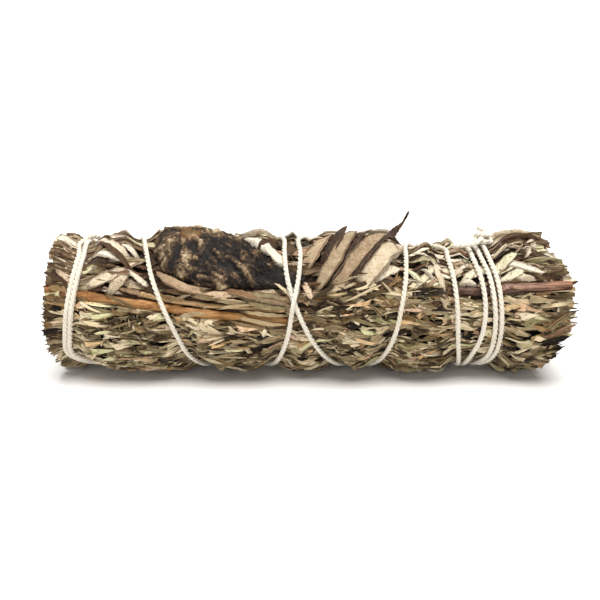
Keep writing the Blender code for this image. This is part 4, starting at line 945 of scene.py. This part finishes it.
# The big dark leaf, top left of the middle: one white sage leaf that dried dark brown, crumpled and humped
# up between two turns of the twine.
ALONG, ACROSS = 130, 66  # points along and across it
t, u = np.linspace(0, 1, ALONG)[:, None], np.linspace(-1, 1, ACROSS)
u, face = np.append(u, u[-2:0:-1]), np.repeat((1, -1), (ACROSS, ACROSS - 2))
share, corner = (u + 1) / 2, np.linspace(0, 1, len(DARK_LOWER))
low, high = ([np.interp(t, corner, one) for one in np.array(marks).T] for marks in (DARK_LOWER, DARK_UPPER))
x, angle = (first + (last - first) * share for first, last in zip(low, high))
crown = np.maximum(0, np.sin(np.pi * share)) ** 0.5
hump = 3.1 * crown * np.sin(np.pi * np.minimum(1, t * 1.25 + 0.15))
crumple = 0.5 * np.sin(9 * t + 5 * share) * np.sin(8 * share + 4 * t)


def puffs(size, longer, turned, seed):
    """Rounded puffs of about that size, some times longer one way, with sharp creases between."""
    along, around = x.ravel() / size, np.radians(angle).ravel() * UNROLLED / size
    cos, sin = math.cos(math.radians(turned)), math.sin(math.radians(turned))
    along, around = (along * cos + around * sin) / longer, around * cos - along * sin
    along = along + 0.5 * np.sin(0.9 * around + seed)
    spots = zip(along, around + 0.7 * np.sin(1.3 * along + seed))
    return np.abs([noise.noise(Vector((*spot, seed))) for spot in spots]).reshape(x.shape)


relief = 1.8 * puffs(4.6, 1.5, -25, 5.2) + 1.3 * puffs(1.8, 2.2, -40, 0.6) * (1.2 - 0.5 * t)
relief = relief + 1.2 * puffs(0.9, 1.6, 15, 9.9)
rise = (1.5 + hump + crumple + relief) * swelled(x, angle)
rise = rise - 0.9 * np.clip((np.abs(u) - 0.84) / 0.16, 0, 1) ** 2  # its edges turn down
radius = seat_radius(x, angle) - 1.4 + rise + face * 0.35 * (1 - u**8)
olive = np.exp(-(((x + 36.5) / 3.0) ** 2) - ((angle - 80) / 9) ** 2)
dark = Piece()
# Its tone follows the relief of the puffs, so the tops of the bumps come out lighter: painted highlights.
dark.add(place(x, angle, radius)[None], np.clip(relief / 1.9 - 0.12, 0, 1), t, np.abs(u), olive)
dark_brown = Finish("dark sage leaf", Specular_IOR_Level=0.35)
patch, warts, skin = dark_brown.grain(4.5), dark_brown.grain(0.8), dark_brown.grain(0.25)
# The tone carries the painted highlights on the tops of the bumps.
shade = dark_brown.shades(
    dark_brown.tone + 0.9 * (patch - 0.5) + 1.0 * (warts - 0.5) - 0.5 * dark_brown.along,
    (0, 18, 12, 8), (0.2, 42, 31, 22), (0.45, 88, 70, 50), (0.68, 146, 126, 98), (0.95, 206, 190, 162),
)
shade = dark_brown.mix(0.6 * dark_brown.hue.step(0.15, 0.5), shade, colour(122, 82, 46))
shade = dark_brown.mix(0.7 * dark_brown.hue.step(0.45, 0.8), shade, colour(92, 84, 52))
dark_brown.done(shade, 0.6 + 0.3 * skin, warts + 0.5 * skin, 0.32)
dark.make("dark_crumpled_leaf", dark_brown, "dark sage leaf", "dark_sage_leaf")


# Stems. On the outside lie an orange one that lost its bark, its thinner side shoot, and a brown one at the
# right end. Inside, each sprig has its main stem, which shows only where it was cut, with wood and pith.
def stem(line, name, radius, finish, slot, node, knots=(), around=18, spacing=0.7):
    """A ridged round stem, cut off at both ends, with knots as (share of its length, size)."""
    centre, run = evenly(line, spacing)
    along, out, side = frames(centre)
    a = np.arange(around) * 2 * np.pi / around
    seed = sum(map(ord, node))
    ridge = 1 + 0.045 * np.sin(3 * a + run[:, None] * 0.06 + seed) + 0.05 * np.sin(run * 0.37 + seed)[:, None]
    ridge = ridge + 0.03 * np.sin(7 * a + run[:, None] * 0.11)
    for spot, size in knots:
        near = np.exp(-(((run - spot * run[-1]) / 1.1) ** 2))[:, None]
        ridge = ridge + size * near * (1.2 + np.cos(a - 1.0))
    rings = centre[:, None] + radius * ridge[..., None] * round_line(out, side, a)
    insets, sunk = np.array(((0.93, 0.5, 0.22), (0.0, 0.0, 0.12)))[..., None, None]
    left, right = (
        centre[k] + way * along[k] * sunk + insets * (rings[k] - centre[k]) for k, way in ((0, 1), (-1, -1))
    )
    rings = np.concatenate((left[::-1], rings, right))
    share = np.concatenate((insets[::-1, 0], np.ones((len(centre), 1)), insets[:, 0]))
    piece, t = Piece(), np.linspace(0, 1, len(rings))
    piece.add(rings[None], 0.5, t[:, None], share, seed * 0.37 % 1)
    piece.make(name, finish, slot, node)


def stem_finish(name, roughness, streaks, wood, pith, casts=((0, 1, 1, 1),)):
    """Streaks along a stem, casts from its left to its right end, and cut ends of wood with darker pith."""
    made = Finish(name, Specular_IOR_Level=0.35)
    fibre, band, patch = made.grain((9, 0.28, 0.28), 4), made.grain((22, 1.1, 1.1), 2), made.grain(5, 2)
    shade = made.shades(0.45 * fibre + 0.35 * band + 0.3 * patch, *streaks)
    shade = made.mix(1.0, shade, made.ramp(made.along + 0.3 * (patch - 0.5), *casts), "MULTIPLY")
    shade = made.mix(1 - made.across.step(0.9, 0.96), shade, colour(*wood))
    shade = made.mix(1 - made.across.step(0.25, 0.45), shade, colour(*pith))
    return made.done(shade, roughness + 0.2 * (fibre - 0.5), fibre + 0.5 * band, 0.22)


peeled = stem_finish(
    "peeled stem", 0.55,
    ((0.32, 70, 42, 25), (0.44, 118, 76, 42), (0.56, 164, 118, 70), (0.72, 208, 168, 114)),
    (222, 190, 140), (150, 100, 60),
    ((0.05, 0.62, 0.5, 0.42), (0.2, 0.9, 0.85, 0.8), (0.6, 1, 1, 1), (0.8, 1, 1, 0.9), (1, 0.7, 0.7, 0.7)),
)
shoot_skin = stem_finish(
    "dry shoot", 0.65,
    ((0.3, 88, 62, 42), (0.48, 146, 116, 80), (0.62, 190, 162, 118), (0.78, 218, 198, 160)),
    (214, 190, 148), (150, 110, 70),
)
old_bark = stem_finish(
    "old bark", 0.7, ((0.38, 34, 22, 18), (0.47, 74, 54, 45), (0.56, 136, 109, 96), (0.68, 190, 160, 140)),
    (206, 160, 110), (130, 90, 60),
    ((0.1, 0.5, 0.42, 0.4), (0.35, 0.4, 0.33, 0.32), (0.5, 0.86, 0.8, 0.76), (0.8, 0.88, 0.76, 0.68),
     (0.95, 0.95, 0.68, 0.45)),
)
bark = stem_finish(
    "bark", 0.7, ((0.36, 34, 22, 18), (0.48, 80, 56, 46), (0.58, 132, 102, 90), (0.72, 178, 142, 122)),
    (206, 182, 142), (130, 96, 64),
)
# The outside stems' marks, how deep each is sunk, its name, radius, finish, slot, node and knots.
for marks, sunk, *made in (
    (ORANGE_STEM, 1.2, "stem_peeled", 1.3, peeled, "peeled stem", "stem_orange", ((0.2, 0.16), (0.55, 0.2))),
    (SIDE_STEM, 0.65, "stem_shoot", 0.7, shoot_skin, "peeled stem", "stem_side_shoot", ((0.4, 0.2),)),
    (BROWN_STEM, 1.45, "stem_bark", 1.5, old_bark, "bark", "stem_brown", ((0.5, 0.15),)),
):
    x = np.linspace(marks[0][0], marks[-1][0], 60)
    angle = between(marks, x)
    stem(place(x, angle, seat_radius(x, angle) - 0.55 - sunk + 1.9 * swelled(x, angle)), *made)


def inner_stem(name, node, spot, chance):
    """The main stem of a sprig, which stands past both cuts."""
    angle, distance, radius = spot
    left, right = -CORE_HALF - chance.uniform(0.6, 2.0), CORE_HALF + chance.uniform(0.6, 2.0)
    wave = chance.uniform(0, 6)
    x = np.linspace(left, right, 6)
    line = place(x, angle, distance + 0.35 * np.sin(0.04 * x + wave))
    stem(line, name, radius, bark, "bark", node, around=12, spacing=6)


for k, (name, edges, *_) in enumerate(SAGEBRUSH + WHITE_SAGE):
    inner_stem(f"main_stem_of_{name}", f"stem_in_{name}", main_stem(k, edges), random.Random(40 + k))
for k, spot in enumerate(heart_stems):
    inner_stem(f"main_stem_in_heart_{k + 1}", f"stem_in_heart_{k + 1}", spot, random.Random(70 + k))

# The floor, a plain white surface that rises far away on all sides, and soft white light from all round,
# strongest from above.
FLAT, RIM, RIM_HEIGHT = 3, 5.5, 2.3  # in metres: how far it lies flat, and how far out and up it goes
mesh = bpy.data.meshes.new("floor")
sides = ((-1, -1), (1, -1), (1, 1), (-1, 1))
corners = [(x * reach, y * reach, z) for reach, z in ((FLAT, 0), (RIM, RIM_HEIGHT)) for x, y in sides]
mesh.from_pydata(corners, [], [(0, 1, 2, 3)] + [(k, k + 4, (k + 1) % 4 + 4, (k + 1) % 4) for k in range(4)])
floor = linked("floor", mesh)
plain = bpy.data.materials.new("white floor")
plain.use_nodes = True
plain_shader = plain.node_tree.nodes["Principled BSDF"].inputs
plain_shader["Base Color"].default_value = (0.82, 0.82, 0.82, 1)
plain_shader["Roughness"].default_value = 0.9
mesh.materials.append(plain)

world = bpy.data.worlds.new("studio")
world.use_nodes = True
background = world.node_tree.nodes["Background"].inputs
background["Color"].default_value = (1, 0.97, 0.93, 1)
background["Strength"].default_value = 0.2
bpy.context.scene.world = world
bpy.context.scene.view_settings.view_transform = "Standard"

sun = linked("light_above", bpy.data.lights.new("light_above", "SUN"))
sun.data.energy, sun.data.angle, sun.data.color = 5.0, math.radians(48), (1, 0.975, 0.945)
sun.rotation_euler = Vector((-0.05, 0.1, -1)).to_track_quat("-Z", "Y").to_euler()

# The camera stands at the height and distance of the photograph's.
DISTANCE, RAISED = 0.25, math.radians(18)  # from its target in metres, and how far it looks down
lens_up = Vector((0, math.sin(RAISED), math.cos(RAISED)))
target = Vector((-0.0032, 0, AXIS_HEIGHT * 0.001)) + lens_up * 0.0011
camera = linked("camera", bpy.data.cameras.new("camera"))
camera.data.lens, camera.data.clip_start = 47, 0.01
camera.location = target + Vector((0, -math.cos(RAISED), math.sin(RAISED))) * DISTANCE
camera.rotation_euler = (target - camera.location).to_track_quat("-Z", "Y").to_euler()
bpy.context.scene.camera = camera
